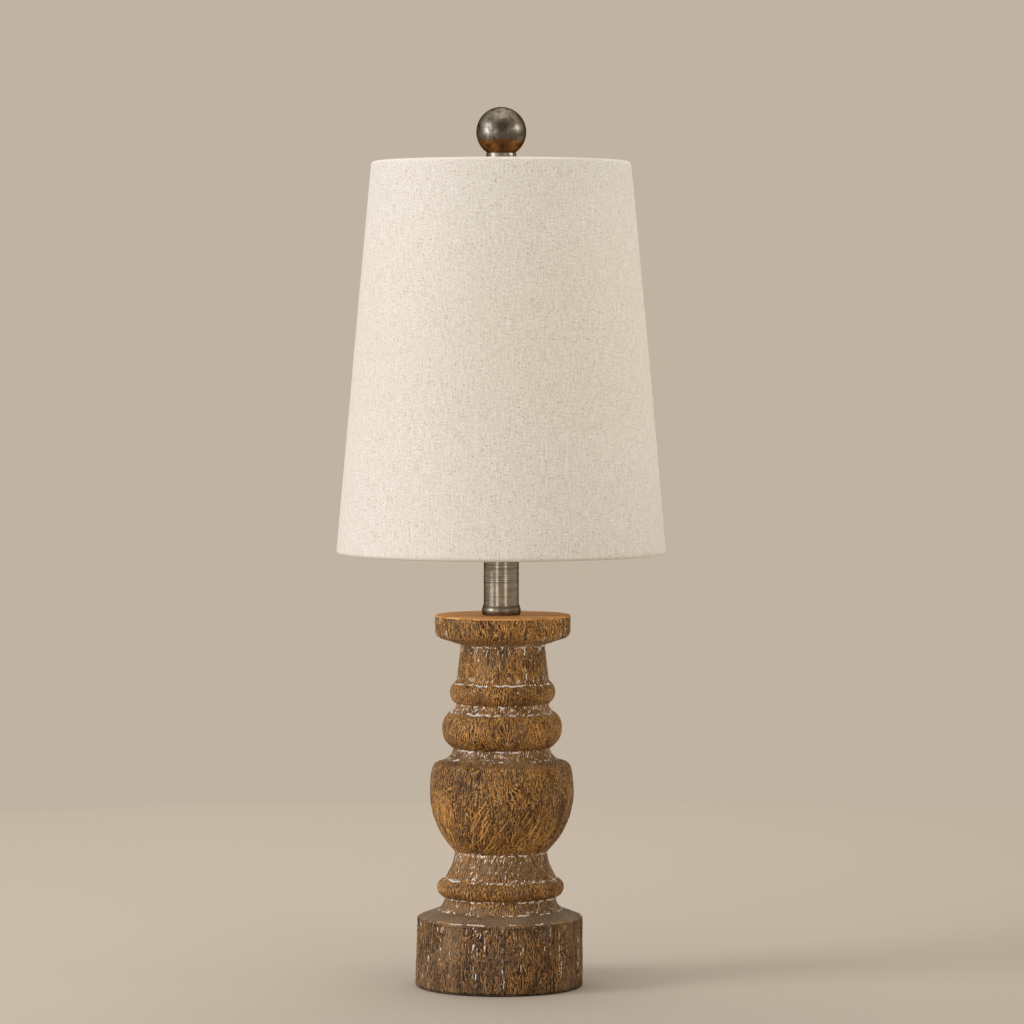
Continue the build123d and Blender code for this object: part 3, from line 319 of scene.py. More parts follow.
# ---------- the turned column
def cut_column(column, top_z):
    """The cuts on the column, up to top_z."""
    all_over = (FOOT_Z + 2 * MM, top_z)
    on_neck = (TOP_BEAD_TOP_Z, NECK_TOP_Z)
    on_cushion = (CUSHION_TOP_Z - 22 * MM, CUSHION_TOP_Z)
    low_on_urn = (WAIST_TOP_Z + 4 * MM, WAIST_TOP_Z + 30 * MM)
    wide, less_wide, thin = (0.4, 0.7), (0.35, 0.6), (0.26, 0.38)
    # In each call: how many, where, length, half width, depth, marks.
    # Long upright cuts, and slanting ones on the lower half of the urn.
    column.strokes(70, (DISC_SIDE_Z - 4 * MM, top_z), (3, 10), wide, 0.4, {CUT_AND_SHADE: 0.9}, spread=0.06, white=0.3)
    column.strokes(70, on_neck, (4, 15), wide, 0.35, {CUT_AND_SHADE: 0.9}, spread=0.05, white=0.15)
    on_urn = (WAIST_TOP_Z + 6 * MM, SHOULDER_Z)
    column.strokes(150, on_urn, (7, 24), wide, 0.35, {CUT_AND_SHADE: 0.85}, spread=0.07, bend=4, white=0.06)
    column.strokes(70, low_on_urn, (8, 22), less_wide, 0.25, {BARE: 0.95}, lean=0.5, spread=0.18, bend=14)
    column.strokes(50, low_on_urn, (8, 22), less_wide, 0.35, {CUT_AND_SHADE: 0.9}, lean=0.5, spread=0.18, bend=14)
    tangled = {"lean": 0.1, "spread": 0.3, "bend": 25, "white": 0.05}
    column.strokes(90, on_cushion, (4, 12), less_wide, 0.3, {CUT_AND_SHADE: 0.85}, **tangled)
    # Short tangled strokes all over: dark ones, bare ones that stand out, and a few with filler.
    column.strokes(1300, all_over, (1.6, 5), thin, 0.16, {CUT_AND_SHADE: 0.75}, spread=0.5, bend=60)
    column.strokes(1500, all_over, (1.6, 6), thin, -0.10, {BARE: 0.8}, lean=0.1, spread=0.5, bend=60)
    above_foot = (FOOT_Z + 4 * MM, top_z)
    column.strokes(110, above_foot, (1.2, 3), (0.3, 0.45), 0.2, {FILLER: 0.9}, spread=0.5, bend=60)
    # White filler left in ticks at the joints between the shapes: (low, high, how many, lean).
    joints = (
        (FOOT_Z + 0.5 * MM, LOW_GROOVE_Z - 1.5 * MM, 90, 0.3),
        (LOW_GROOVE_Z - 0.8 * MM, LOW_GROOVE_Z + 0.8 * MM, 135, 1.2),
        (LOW_BEAD_TOP_Z - 0.5 * MM, LOW_BEAD_TOP_Z + 2 * MM, 165, 0.5),
        (LOW_BEAD_TOP_Z + 2 * MM, WAIST_TOP_Z - 5 * MM, 90, 0.2),
        (WAIST_TOP_Z - 4.5 * MM, WAIST_TOP_Z + 0.5 * MM, 180, 0.3),
        (SHOULDER_TOP_Z + 1.5 * MM, COVE_TOP_Z - 3 * MM, 75, 1.2),
        (COVE_TOP_Z - 3.5 * MM, COVE_TOP_Z + 0.3 * MM, 180, 0.4),
        (CUSHION_TOP_Z - 0.2 * MM, CUSHION_TOP_Z + 1 * MM, 120, 1.2),
        (CUSHION_TOP_Z + 0.8 * MM, SMALL_COVE_TOP_Z, 165, 0.35),
        (TOP_BEAD_TOP_Z - 1.6 * MM, TOP_BEAD_TOP_Z - 0.6 * MM, 75, 1.45),
        (TOP_BEAD_TOP_Z + 0.4 * MM, TOP_BEAD_TOP_Z + 3 * MM, 75, 0.3),
        (NECK_TOP_Z - 5 * MM, NECK_TOP_Z + 2 * MM, 195, 0.15),
    )
    for low_z, high_z, count, lean in joints:
        tangled = {"lean": lean, "spread": 0.3, "bend": 60}
        column.strokes(count, (low_z, high_z), (1.0, 3.6), (0.24, 0.38), 0.12, {FILLER: 0.95}, **tangled)
    # Pale specks from the waist up, with no depth.
    above_waist = (WAIST_TOP_Z + 3 * MM, top_z)
    tangled = {"lean": 0.1, "spread": 0.6, "bend": 60}
    column.strokes(170, above_waist, (0.8, 2.4), (0.24, 0.36), 0, {FILLER: 0.8}, **tangled)


def mark_column_finish_and_shade(column):
    """The broken white lines, haze and painted shade in the creases of the column."""
    z, points = column.z, column.points
    # A broken white line runs round in the joints themselves: (height, how much of the way round).
    lines = (
        (FOOT_Z + 0.5 * MM, 0.45),
        (LOW_GROOVE_Z - 0.2 * MM, 0.85),
        (LOW_BEAD_TOP_Z + 0.4 * MM, 0.55),
        (WAIST_TOP_Z - 0.3 * MM, 0.6),
        (SHOULDER_TOP_Z + 2.5 * MM, 0.3),
        (COVE_TOP_Z - 0.4 * MM, 0.45),
        (CUSHION_TOP_Z + 0.4 * MM, 0.6),
        (SMALL_COVE_TOP_Z - 0.4 * MM, 0.35),
        (TOP_BEAD_TOP_Z - 1.3 * MM, 0.6),
        (NECK_TOP_Z - 0.5 * MM, 0.35),
    )
    for number, (line_z, share) in enumerate(lines):
        gap = noise(points, (9 * MM, 9 * MM, 30 * MM), seed=80 + number) * 0.4
        gap += noise(points, (1.7 * MM, 1.7 * MM, 30 * MM), seed=95 + number) * 0.6
        wander = (noise(points, 2.5 * MM, seed=110 + number) - 0.5) * 1.3 * MM
        line = np.clip(band(z + wander, line_z, 0.62 * MM) * 1.5, 0, 1)
        column.mark(FILLER, line * smooth_step(gap, 0.66 - 0.36 * share, 0.76 - 0.36 * share))

    # Soft haze of old wax in the hollows: (strength, height, half its width).
    hollows = (
        (0.9, FOOT_Z + 2.5 * MM, 7 * MM),
        (0.75, SHOULDER_TOP_Z + 3.5 * MM, 6 * MM),
        (0.6, WAIST_TOP_Z - 8 * MM, 11 * MM),
        (0.35, NECK_TOP_Z, 8 * MM),
        (0.5, CUSHION_TOP_Z + 3 * MM, 5 * MM),
    )
    haze = sum(strength * band(z, middle, half) for strength, middle, half in hollows)
    patchy = 0.35 + 0.65 * noise(points, 7 * MM, seed=21)
    column.finish_and_shade[..., HAZE] = np.clip(haze * patchy, 0, 1)

    # Painted shade: dark lines where a shape undercuts the next: (height, strength).
    creases = (
        (LOW_GROOVE_Z + 0.9 * MM, 0.9),
        (COVE_TOP_Z + 0.8 * MM, 0.7),
        (SMALL_COVE_TOP_Z + 0.7 * MM, 0.8),
        (TOP_BEAD_TOP_Z - 0.9 * MM, 0.6),
        (WAIST_TOP_Z + 1.0 * MM, 0.6),
    )
    uneven = 0.5 + 0.5 * noise(points, 3 * MM, seed=22)
    for crease_z, strength in creases:
        line = strength * band(z, crease_z, 1.2 * MM) * uneven
        column.mark(CUT_AND_SHADE, line * (1 - column.finish_and_shade[..., FILLER]))


def make_column():
    low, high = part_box("turned_column")
    outside = outer_outline("turned_column", FOOT_Z, smallest=20 * MM)
    solid_points = mesh_points(nodes["turned_column"].data)
    solid_radius = np.hypot(solid_points[:, 0], solid_points[:, 1])
    bore = solid_radius.min()
    tenon = solid_radius[solid_points[:, 2] < low.z + 0.1 * MM].max()
    top = [(outside[-1, 0] * f + bore * (1 - f), high.z) for f in np.linspace(0.985, 0, 60)]
    column = Carving(np.vstack([outside, top]), step=0.52 * MM, around=544, seed=7)
    rough_wood(column, ridge=0.34, tangle=0.16)
    cut_column(column, high.z - 1 * MM)
    mark_column_finish_and_shade(column)

    # The disc's rim has nicks. Its end-grain top is nearly smooth, and flat under the metal ring.
    edge = band(column.z, high.z - 0.4 * MM, 1.6 * MM) * (column.radius > 40 * MM)[:, None]
    nicks = edge * smooth_step(noise(column.points, 4.5 * MM, seed=31), 0.62, 0.9)
    column.push -= nicks * 0.8 * MM
    side_rows = smooth_step(-column.height, -high.z + 0.3 * MM, -high.z + 1.4 * MM)
    nearly_smooth = np.where(column.height > high.z - 0.05 * MM, 0.06, 1.0)
    amount = np.maximum(side_rows, nearly_smooth * (column.radius > METAL_RING_R))
    column.finish_and_shade *= side_rows[:, None, None]
    inner = [(bore, low.z), (tenon, low.z), (tenon, FOOT_Z), (tenon + 0.3 * MM, FOOT_Z)]
    return column.solid("wood_column", amount, inner)


# ---------- the plinth
def cut_plinth(plinth, low_z, crease_z):
    """The cuts on the plinth's side, from its foot at low_z up to its crease."""
    side_top = crease_z - 1 * MM
    side = (low_z + 2 * MM, side_top)
    plinth.strokes(150, side, (6, 30), (0.4, 0.8), 0.45, {CUT_AND_SHADE: 0.9}, spread=0.04, white=0.12)
    plinth.strokes(900, side, (1.5, 6), (0.3, 0.5), 0.2, {CUT_AND_SHADE: 0.85}, spread=0.25, bend=30)
    plinth.strokes(800, side, (1.5, 8), (0.3, 0.45), -0.12, {BARE: 0.8}, spread=0.15, bend=20)
    # White filler in chains of dashes down the deeper grooves.
    pick = plinth.random.uniform
    low_s, high_s = plinth.s_at(low_z + 1.5 * MM), plinth.s_at(side_top)
    for _ in range(80):
        angle = pick(0, TURN)
        s = pick(low_s, high_s - 6 * MM)
        for _ in range(int(pick(1, 6))):
            length = pick(1.5, 7) * MM
            aside = pick(-0.4, 0.4) * MM / plinth.radius[0]
            lean = pick(-0.08, 0.08)
            half_width = pick(0.28, 0.42) * MM
            marks = {CUT_AND_SHADE: 0.2, FILLER: pick(0.6, 1)}
            plinth.stroke(angle + aside, s, length, lean, 0, half_width, 0.25 * MM, marks)
            s += length * 0.5 + pick(2, 6) * MM
            if s > high_s:
                break
    under_crease = (crease_z - 6 * MM, side_top)
    plinth.strokes(36, under_crease, (1.5, 5), (0.26, 0.38), 0.2, {FILLER: 0.85}, lean=0.1, spread=0.2)


def mark_plinth_finish_and_shade(plinth, low_z, crease_z):
    """The haze, the painted shade under the crease and at the foot, and the worn rim of the plinth."""
    z, points = plinth.z, plinth.points
    # Grey haze on the sloping top, and in soft patches on the side.
    on_top = smooth_step(z, crease_z - 0.6 * MM, crease_z + 0.6 * MM)
    patchy = 0.55 + 0.45 * noise(points, 10 * MM, seed=41)
    plinth.finish_and_shade[..., HAZE] = on_top * patchy
    soft_grey = smooth_step(noise(points, (14 * MM, 14 * MM, 20 * MM), seed=42), 0.5, 0.8)
    plinth.mark(HAZE, 0.28 * soft_grey * (1 - on_top))
    # Painted shade under the crease, and a painted shadow at the foot.
    plinth.mark(CUT_AND_SHADE, band(z, crease_z - 1.7 * MM, 1.2 * MM) * 0.8 * patchy)
    plinth.mark(CUT_AND_SHADE, band(z, low_z, 1.6 * MM) * 0.9)
    plinth.finish_and_shade[..., (CUT_AND_SHADE, FILLER, BARE)] *= (1 - 0.8 * on_top)[..., None]
    # A worn rim along the crease, with some filler in it.
    wander = (noise(points, 7 * MM, seed=45) - 0.5) * 1.6 * MM
    wear_and_reflection = smooth_step(noise(points, 6 * MM, seed=43), 0.42, 0.6)
    rim = band(z + wander, crease_z + 0.5 * MM, 0.8 * MM) * wear_and_reflection
    plinth.mark(BARE, rim)
    plinth.finish_and_shade[..., HAZE] *= 1 - rim
    pale = rim * smooth_step(noise(points, 14 * MM, seed=46), 0.5, 0.6)
    plinth.mark(FILLER, 0.8 * pale)


def make_plinth():
    low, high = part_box("plinth")
    outside = outer_outline("plinth", low.z, smallest=39.5 * MM)
    crease_z = high.z - CREASE_DROP
    top = [(outside[-1, 0] * f + MORTISE_R * (1 - f), high.z) for f in (0.75, 0.5, 0.25, 0)]
    plinth = Carving(np.vstack([outside, top]), step=0.55 * MM, around=600, seed=19)
    rough_wood(plinth, ridge=0.42, tangle=0.14)
    cut_plinth(plinth, low.z, crease_z)
    mark_plinth_finish_and_shade(plinth, low.z, crease_z)

    # The crease has nicks. The sloping top is smoother, and the foot and the joint are left as they are.
    nicks = band(plinth.z, crease_z, 2 * MM) * smooth_step(noise(plinth.points, 5 * MM, seed=44), 0.6, 0.9)
    plinth.push -= nicks * 0.7 * MM
    amount = 1 - 0.75 * smooth_step(plinth.height, crease_z - 1 * MM, crease_z + 1 * MM)
    amount *= smooth_step(plinth.height, low.z, low.z + 1.2 * MM)
    amount = np.where(plinth.radius < COLUMN_FOOT_R, 0, amount)
    inner = [
        (MORTISE_R, high.z - MORTISE_DEPTH),
        (PIPE_HOLE_R, high.z - MORTISE_DEPTH),
        (PIPE_HOLE_R, low.z + HOLLOW_HEIGHT),
        (HOLLOW_R, low.z + HOLLOW_HEIGHT),
        (HOLLOW_R, low.z + RECESS_DEPTH),
        (RECESS_R, low.z + RECESS_DEPTH),
        (RECESS_R, low.z),
    ]
    return plinth.solid("wood_plinth", amount, inner)


def cut_with(piece, cutters):
    """Takes the cutters away from the piece for good, then removes them."""
    for cutter in cutters:
        cut = piece.modifiers.new("cut", "BOOLEAN")
        cut.operation = "DIFFERENCE"
        cut.solver = "EXACT"
        cut.object = cutter
    bpy.context.view_layer.update()
    whole = piece.evaluated_get(bpy.context.evaluated_depsgraph_get())
    mesh = bpy.data.meshes.new_from_object(whole)
    piece.modifiers.clear()
    piece.data = mesh
    for cutter in cutters:
        bpy.data.objects.remove(cutter)


def inlet_cutter():
    """The shape of the inlet's hole through the back wall, with the flat seat of its bushing. Its faces point
    inwards, so for now it only marks the wood: the hole stays closed."""
    low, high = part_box("cord_bushing")
    middle = (low.z + high.z) / 2
    seat_y = high.y - SEAT_DEPTH
    outline = (
        (CORE_FROM_R, CUTTER_FROM_Y),
        (INLET_R, CUTTER_FROM_Y),
        (INLET_R, seat_y),
        (SEAT_R, seat_y),
        (SEAT_R, CUTTER_TO_Y),
        (CORE_TO_R, CUTTER_TO_Y),
    )
    around = 96
    angle = round_angles(around)
    rings = [
        np.stack([radius * np.cos(angle), np.full(around, y), middle + radius * np.sin(angle)], axis=-1)
        for radius, y in outline
    ]
    return closed_lathe("inlet_cutter", np.array(rings))


# ---------- the shade's cover and the felt
def rim_wire(name):
    """A rim wire's middle, as (radius, height)."""
    low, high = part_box(name)
    half = (high.z - low.z) / 2
    return high.x - half, (high.z + low.z) / 2


def make_cover():
    """The linen, wrapped round both rim wires and turned in behind the liner, with a glued lap at the back."""
    bottom_r, bottom_z = rim_wire("shade_bottom_ring")
    top_r, top_z = rim_wire("shade_top_ring")
    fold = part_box("shade_fabric")[1].z - top_z
    down = np.array([bottom_r - top_r, bottom_z - top_z])
    wall_length = float(np.hypot(*down))
    down /= wall_length
    outwards = np.array([-down[1], down[0]])

    def hem_and_turn(wire, sense, thickness):
        """The hem behind the liner and the turn round a wire; sense is 1 at the bottom and -1 at the top."""
        flap = LINER_SIDE + CLOTH - thickness
        far = 2 * fold - thickness
        hem = [
            wire - down * sense * along + outwards * (fold - across)
            for along, across in (
                (HEM_LENGTH, flap),
                (0.5 * (HEM_LENGTH + HEM_TOUCH), flap),
                (HEM_TOUCH, flap),
                (HEM_RISE, 0.5 * (flap + far)),
                (HEM_AT_WIRE, far),
            )
        ]
        turn = [
            wire + (fold - thickness) * (down * sense * math.sin(t) - outwards * math.cos(t))
            for t in np.linspace(0, math.pi, 15)
        ]
        return hem + turn

    def face(thickness):
        """One face of the cloth, from the bottom hem's end to the top hem's end."""
        bottom = hem_and_turn(np.array([bottom_r, bottom_z]), 1, thickness)
        top = hem_and_turn(np.array([top_r, top_z]), -1, thickness)
        wall = [bottom[-1] * (1 - f) + top[-1] * f for f in np.linspace(0, 1, 121)[1:-1]]
        return np.array(bottom + wall + top[::-1])

    around = 420
    angle = round_angles(around)
    outer = face(0)
    outline = np.vstack([outer, face(CLOTH)[::-1]])
    rings = spun(outline, around)

    # Laminated linen is never quite round: a slow wave, held in at the rims, and a small one all over.
    height = (rings[..., 2] - bottom_z) / (top_z - bottom_z)
    free = np.clip(np.sin(np.clip(height, 0, 1) * math.pi), 0, 1) ** 0.5
    wave = (noise(rings, (60 * MM, 60 * MM, 90 * MM), seed=61) - 0.5) * 0.7 * MM * free
    wave += (noise(rings, (16 * MM, 16 * MM, 30 * MM), seed=62) - 0.5) * 0.12 * MM
    # The lap at the back: the top layer steps out by nearly its own thickness, over about 10 mm.
    from_back = (angle - TURN / 4 + math.pi) % TURN - math.pi
    beyond = from_back * rings[:, 0:1, 0].max()
    lap = smooth_step(beyond, -5.4 * MM, -4.6 * MM) * (1 - smooth_step(beyond, 4.8 * MM, 5.2 * MM))
    outer_rows = np.zeros(len(outline))
    outer_rows[: len(outer)] = 1
    push = wave + LAP_STEP * lap[None, :] * outer_rows[:, None] * (rings[..., 2] > bottom_z)
    outward_way = np.stack([np.cos(angle), np.sin(angle), np.zeros(around)], axis=-1)
    piece = closed_lathe("linen_cover", rings + outward_way[None] * push[..., None])

    # Notches in the top hem, where the spider's arms come through to the wire.
    arm_points = mesh_points(nodes["spider_arms"].data)
    arm_radius = arm_points[:, 0][arm_points[:, 1] > 60 * MM].max()
    notch_r = top_r - fold - 0.2 * MM
    cutters = []
    for number in range(3):
        heading = TURN / 4 + number * TURN / 3
        bpy.ops.mesh.primitive_cube_add(size=1)
        cutter = bpy.context.object
        cutter.scale = (2 * fold, 2 * arm_radius + 0.6 * MM, 7 * MM)
        cutter.rotation_euler[2] = heading
        cutter.location = (notch_r * math.cos(heading), notch_r * math.sin(heading), top_z - 2.2 * MM)
        cutters.append(cutter)
    cut_with(piece, cutters)

    # Thread coordinates: the cloth as it lay flat, part of a ring, before it was rolled up.
    sine = (bottom_r - top_r) / wall_length
    points = mesh_points(piece.data)
    apex_distance = np.hypot(points[:, 0], points[:, 1]) / sine
    turn = ((np.arctan2(points[:, 1], points[:, 0]) - TURN / 4) % TURN - math.pi) * sine
    flat = np.stack([apex_distance * np.sin(turn), -apex_distance * np.cos(turn), np.zeros_like(turn)], axis=-1)
    piece.data.attributes.new("threads", "FLOAT_VECTOR", "POINT").data.foreach_set("vector", flat.ravel())

    return piece


def make_felt():
    """The pad under the plinth, with a soft, slightly uneven cut edge."""
    low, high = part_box("felt_pad")
    radius = high.x
    centre, half_way, flat, rounded = 0.2 * MM, radius * 0.5, radius - 0.5 * MM, radius - 0.12 * MM
    outline = [(centre, low.z), (half_way, low.z), (flat, low.z)]
    outline += [(rounded, low.z + 0.25 * MM), (radius, low.z + 0.75 * MM), (rounded, high.z - 0.2 * MM)]
    outline += [(flat, high.z), (half_way, high.z), (centre, high.z)]
    rings = spun(np.array(outline), 360)
    edge = (noise(rings, 3 * MM, seed=71) - 0.5) * 0.5 * MM
    edge[[0, 1, -2, -1]] = 0
    radial = rings[..., :2] / np.hypot(rings[..., 0], rings[..., 1])[..., None]
    rings[..., :2] += radial * edge[..., None]
    piece = closed_lathe("felt_foot", rings)
    return piece


# ---------- materials
class Shader:
    """A material's nodes, with short calls for the kinds used here. Lengths in its patterns are millimetres."""

    def __init__(self, name):
        self.material = bpy.data.materials.new(name)
        self.material.use_nodes = True
        self.tree = self.material.node_tree
        self.tree.nodes.clear()
        self.surface = self.node("ShaderNodeBsdfPrincipled")
        out = self.node("ShaderNodeOutputMaterial")
        self.tree.links.new(self.surface.outputs["BSDF"], out.inputs["Surface"])
        self.mm = self.in_mm(self.node("ShaderNodeTexCoord").outputs["Object"])

    def node(self, kind, values=None, **settings):
        made = self.tree.nodes.new(kind)
        for key, value in settings.items():
            setattr(made, key, value)
        for key, value in (values or {}).items():
            self.give(made.inputs[key], value)
        return made

    def give(self, socket, value):
        if isinstance(value, bpy.types.NodeSocket):
            self.tree.links.new(value, socket)
        elif isinstance(value, tuple) and len(value) == 3 and socket.type == "RGBA":
            socket.default_value = (*value, 1)
        else:
            socket.default_value = value

    def set(self, **values):
        """Sets inputs of the surface: base_color, roughness and so on."""
        for key, value in values.items():
            self.give(self.surface.inputs[key.replace("_", " ").title().replace("Ior", "IOR")], value)
        return self.material

    def scaled(self, vector, scale):
        return self.node("ShaderNodeVectorMath", {0: vector, 1: scale}, operation="MULTIPLY").outputs[0]

    def added(self, a, b):
        return self.node("ShaderNodeVectorMath", {0: a, 1: b}, operation="ADD").outputs[0]

    def in_mm(self, vector):
        return self.scaled(vector, (1000, 1000, 1000))

    def xyz(self, vector):
        return self.node("ShaderNodeSeparateXYZ", {0: vector}).outputs

    def rgb(self, colour):
        return self.node("ShaderNodeSeparateColor", {"Color": colour}).outputs

    def math(self, operation, a, b=0.0):
        return self.node("ShaderNodeMath", {0: a, 1: b}, operation=operation).outputs[0]

    def total(self, *shares):
        """The sum of some values, each times its share."""
        whole = None
        for value, share in shares:
            part = self.math("MULTIPLY", value, share)
            whole = part if whole is None else self.math("ADD", whole, part)
        return whole

    def away_from(self, value, middle):
        return self.math("ABSOLUTE", self.math("SUBTRACT", value, middle))

    def step(self, value, low, high, to_low=0.0, to_high=1.0):
        """A smooth step from to_low, at low, to to_high, at high."""
        made = self.node(
            "ShaderNodeMapRange",
            {"Value": value, "From Min": low, "From Max": high, "To Min": to_low, "To Max": to_high},
            interpolation_type="SMOOTHSTEP",
        )
        return made.outputs["Result"]

    def noise(self, vector, scale, detail=2.0, roughness=0.5, distortion=0.0, output="Fac"):
        """Noise with so many features a millimetre; scale is a number or one per axis."""
        if isinstance(scale, tuple):
            vector, scale = self.scaled(vector, scale), 1.0
        values = {"Scale": scale, "Detail": detail, "Roughness": roughness, "Distortion": distortion}
        return self.node("ShaderNodeTexNoise", {"Vector": vector, **values}).outputs[output]

    def mix(self, factor, a, b, blend="MIX"):
        made = self.node("ShaderNodeMix", data_type="RGBA", blend_type=blend)
        # The places of the factor and the two colours among the inputs; the result is the third output.
        for index, value in ((0, factor), (6, a), (7, b)):
            self.give(made.inputs[index], value)
        return made.outputs[2]

    def ramp(self, factor, *stops):
        """Colours by factor; each stop is (place, colour)."""
        made = self.node("ShaderNodeValToRGB", {"Fac": factor})
        elements = made.color_ramp.elements
        while len(elements) < len(stops):
            elements.new(0.5)
        for element, (place, colour) in zip(elements, stops):
            element.position = place
            element.color = (*colour, 1)
        return made.outputs["Color"]

    def bump(self, height, strength, distance):
        made = self.node("ShaderNodeBump", {"Height": height, "Strength": strength, "Distance": distance})
        self.tree.links.new(made.outputs["Normal"], self.surface.inputs["Normal"])

    def attribute(self, name):
        return self.node("ShaderNodeAttribute", attribute_name=name)


WEATHERED = (0.165, 0.110, 0.060)
OLD_WAX = (0.27, 0.195, 0.127)
FILLER_WHITE = (0.95, 0.89, 0.78)
# End grain colours, painted brighter as if lit from above.
END_GRAIN_PAINTED_LIT = (0.36, (0.42, 0.155, 0.033)), (0.5, (0.71, 0.30, 0.075)), (0.62, (0.95, 0.51, 0.175))


def wood(name, dark, middle, light, ridges, top_z):
    """Old turned wood: a fine net of tan ridges and dark furrows on brown, with the finish of its carving and
    painted shade in its creases. ridges is how many of them run round the piece; above top_z it is end grain,
    painted a brighter orange as if lit from above."""
    shader = Shader(name)
    warp = shader.noise(shader.mm, 0.11, 1, output="Color")
    drift = shader.scaled(shader.added(warp, (-0.5, -0.5, -0.5)), (7, 7, 3))
    spot = shader.added(shader.mm, drift)
    # The net: upright lines round the piece, bent and broken by two noises, weaker in calm places.
    x, y, z = shader.xyz(shader.mm)
    round_it = shader.math("MULTIPLY", shader.math("ARCTAN2", y, x), ridges)
    swell = shader.noise(spot, (0.13, 0.13, 0.05), 0)
    curl = shader.noise(spot, (0.66, 0.66, 0.44), 0)
    wave = shader.math("SINE", shader.math("ADD", round_it, shader.total((swell, 36), (curl, 6.5))))
    line = shader.math("MULTIPLY", wave, shader.math("MULTIPLY", wave, wave))
    calm = shader.noise(shader.added(shader.mm, (12, 70, 33)), (0.11, 0.11, 0.08), 1)
    line = shader.math("MULTIPLY", line, shader.step(calm, 0.38, 0.62, 1.15, 0.35))
    # Its tone adds fine grain, long streaks and broad patches, and settles round the middle of the ramp.
    fine = shader.noise(spot, (1.75, 1.75, 0.85), 1)
    streak = shader.noise(spot, (0.5, 0.5, 0.07), 2)
    patch = shader.noise(shader.mm, (0.042, 0.042, 0.034), 1)
    tone = shader.total((line, 0.22), (fine, 0.68), (streak, 0.27), (patch, 0.38))
    tone = shader.math("SUBTRACT", tone, 0.183)
    tan = tuple(c * f for c, f in zip(light, (1.8, 1.95, 2.3)))
    black = tuple(0.42 * c for c in dark)
    colour = shader.ramp(tone, (0.27, black), (0.40, dark), (0.52, middle), (0.62, light), (0.74, tan))
    greyer = shader.noise(shader.added(shader.mm, (90, 20, 40)), (0.055, 0.055, 0.05), 1)
    colour = shader.mix(shader.step(greyer, 0.48, 0.7, 0, 0.32), colour, WEATHERED)
    # Hair-thin curling lines, dark ones and bare ones.
    for place_aside, tint in (((35, 15, 60), black), ((0, 0, 0), tan)):
        hair = shader.noise(shader.added(spot, place_aside), (0.55, 0.55, 0.13), 1)
        colour = shader.mix(shader.step(shader.away_from(hair, 0.5), 0.006, 0.036, 0.5, 0), colour, tint)
    # The carving's finish: dark cuts with painted shade in the creases, bare wood, wax that lies thicker on the
    # ridges, and broken filler.
    finish_and_shade = shader.attribute("finish_and_shade")
    cut, filler, haze = shader.rgb(finish_and_shade.outputs["Color"])
    colour = shader.mix(shader.step(cut, 0.3, 0.85, 0, 0.85), colour, black)
    colour = shader.mix(shader.step(finish_and_shade.outputs["Alpha"], 0.35, 0.8, 0, 0.75), colour, tan)
    hazy = shader.math("MULTIPLY", haze, shader.step(tone, 0.34, 0.6, 0.3, 0.9))
    colour = shader.mix(hazy, colour, OLD_WAX)
    grain = shader.noise(shader.mm, 1.3, 2)
    broken = shader.math("ADD", shader.math("MULTIPLY", line, 0.35), grain)
    chalk = shader.math("MULTIPLY", filler, shader.step(broken, 0.2, 0.62, 0.3, 1.0))
    colour = shader.mix(shader.step(chalk, 0.36, 0.58), colour, FILLER_WHITE)
    # The smooth end grain on top, painted a brighter orange as if light fell on it from above.
    on_top = shader.step(z, top_z / MM - 1.1, top_z / MM - 0.8)
    rings = shader.noise(shader.mm, (0.012, 0.15, 0.1), 4, 0.62, 0.4)
    colour = shader.mix(on_top, colour, shader.ramp(rings, *END_GRAIN_PAINTED_LIT))
    relief = shader.total((line, 0.10), (fine, 0.9), (streak, 0.6))
    shader.bump(shader.mix(on_top, relief, (0.5, 0.5, 0.5)), 0.75, 0.5 * MM)
    rough = shader.step(tone, 0.3, 0.7, 0.62, 0.46)
    return shader.set(base_color=colour, roughness=rough, specular_ior_level=0.25)


LINEN_TONES = (0.54, (0.61, 0.53, 0.43)), (0.765, (0.80, 0.735, 0.645)), (0.99, (0.94, 0.895, 0.825))
SLUB_WHITE = (0.93, 0.87, 0.78)
FLECK_TAN = (0.45, 0.30, 0.17)
# The colour of a painted glow from the bulb on the cloth.
PAINTED_BULB_GLOW = (0.98, 0.93, 0.84)
BULB_MM = 405


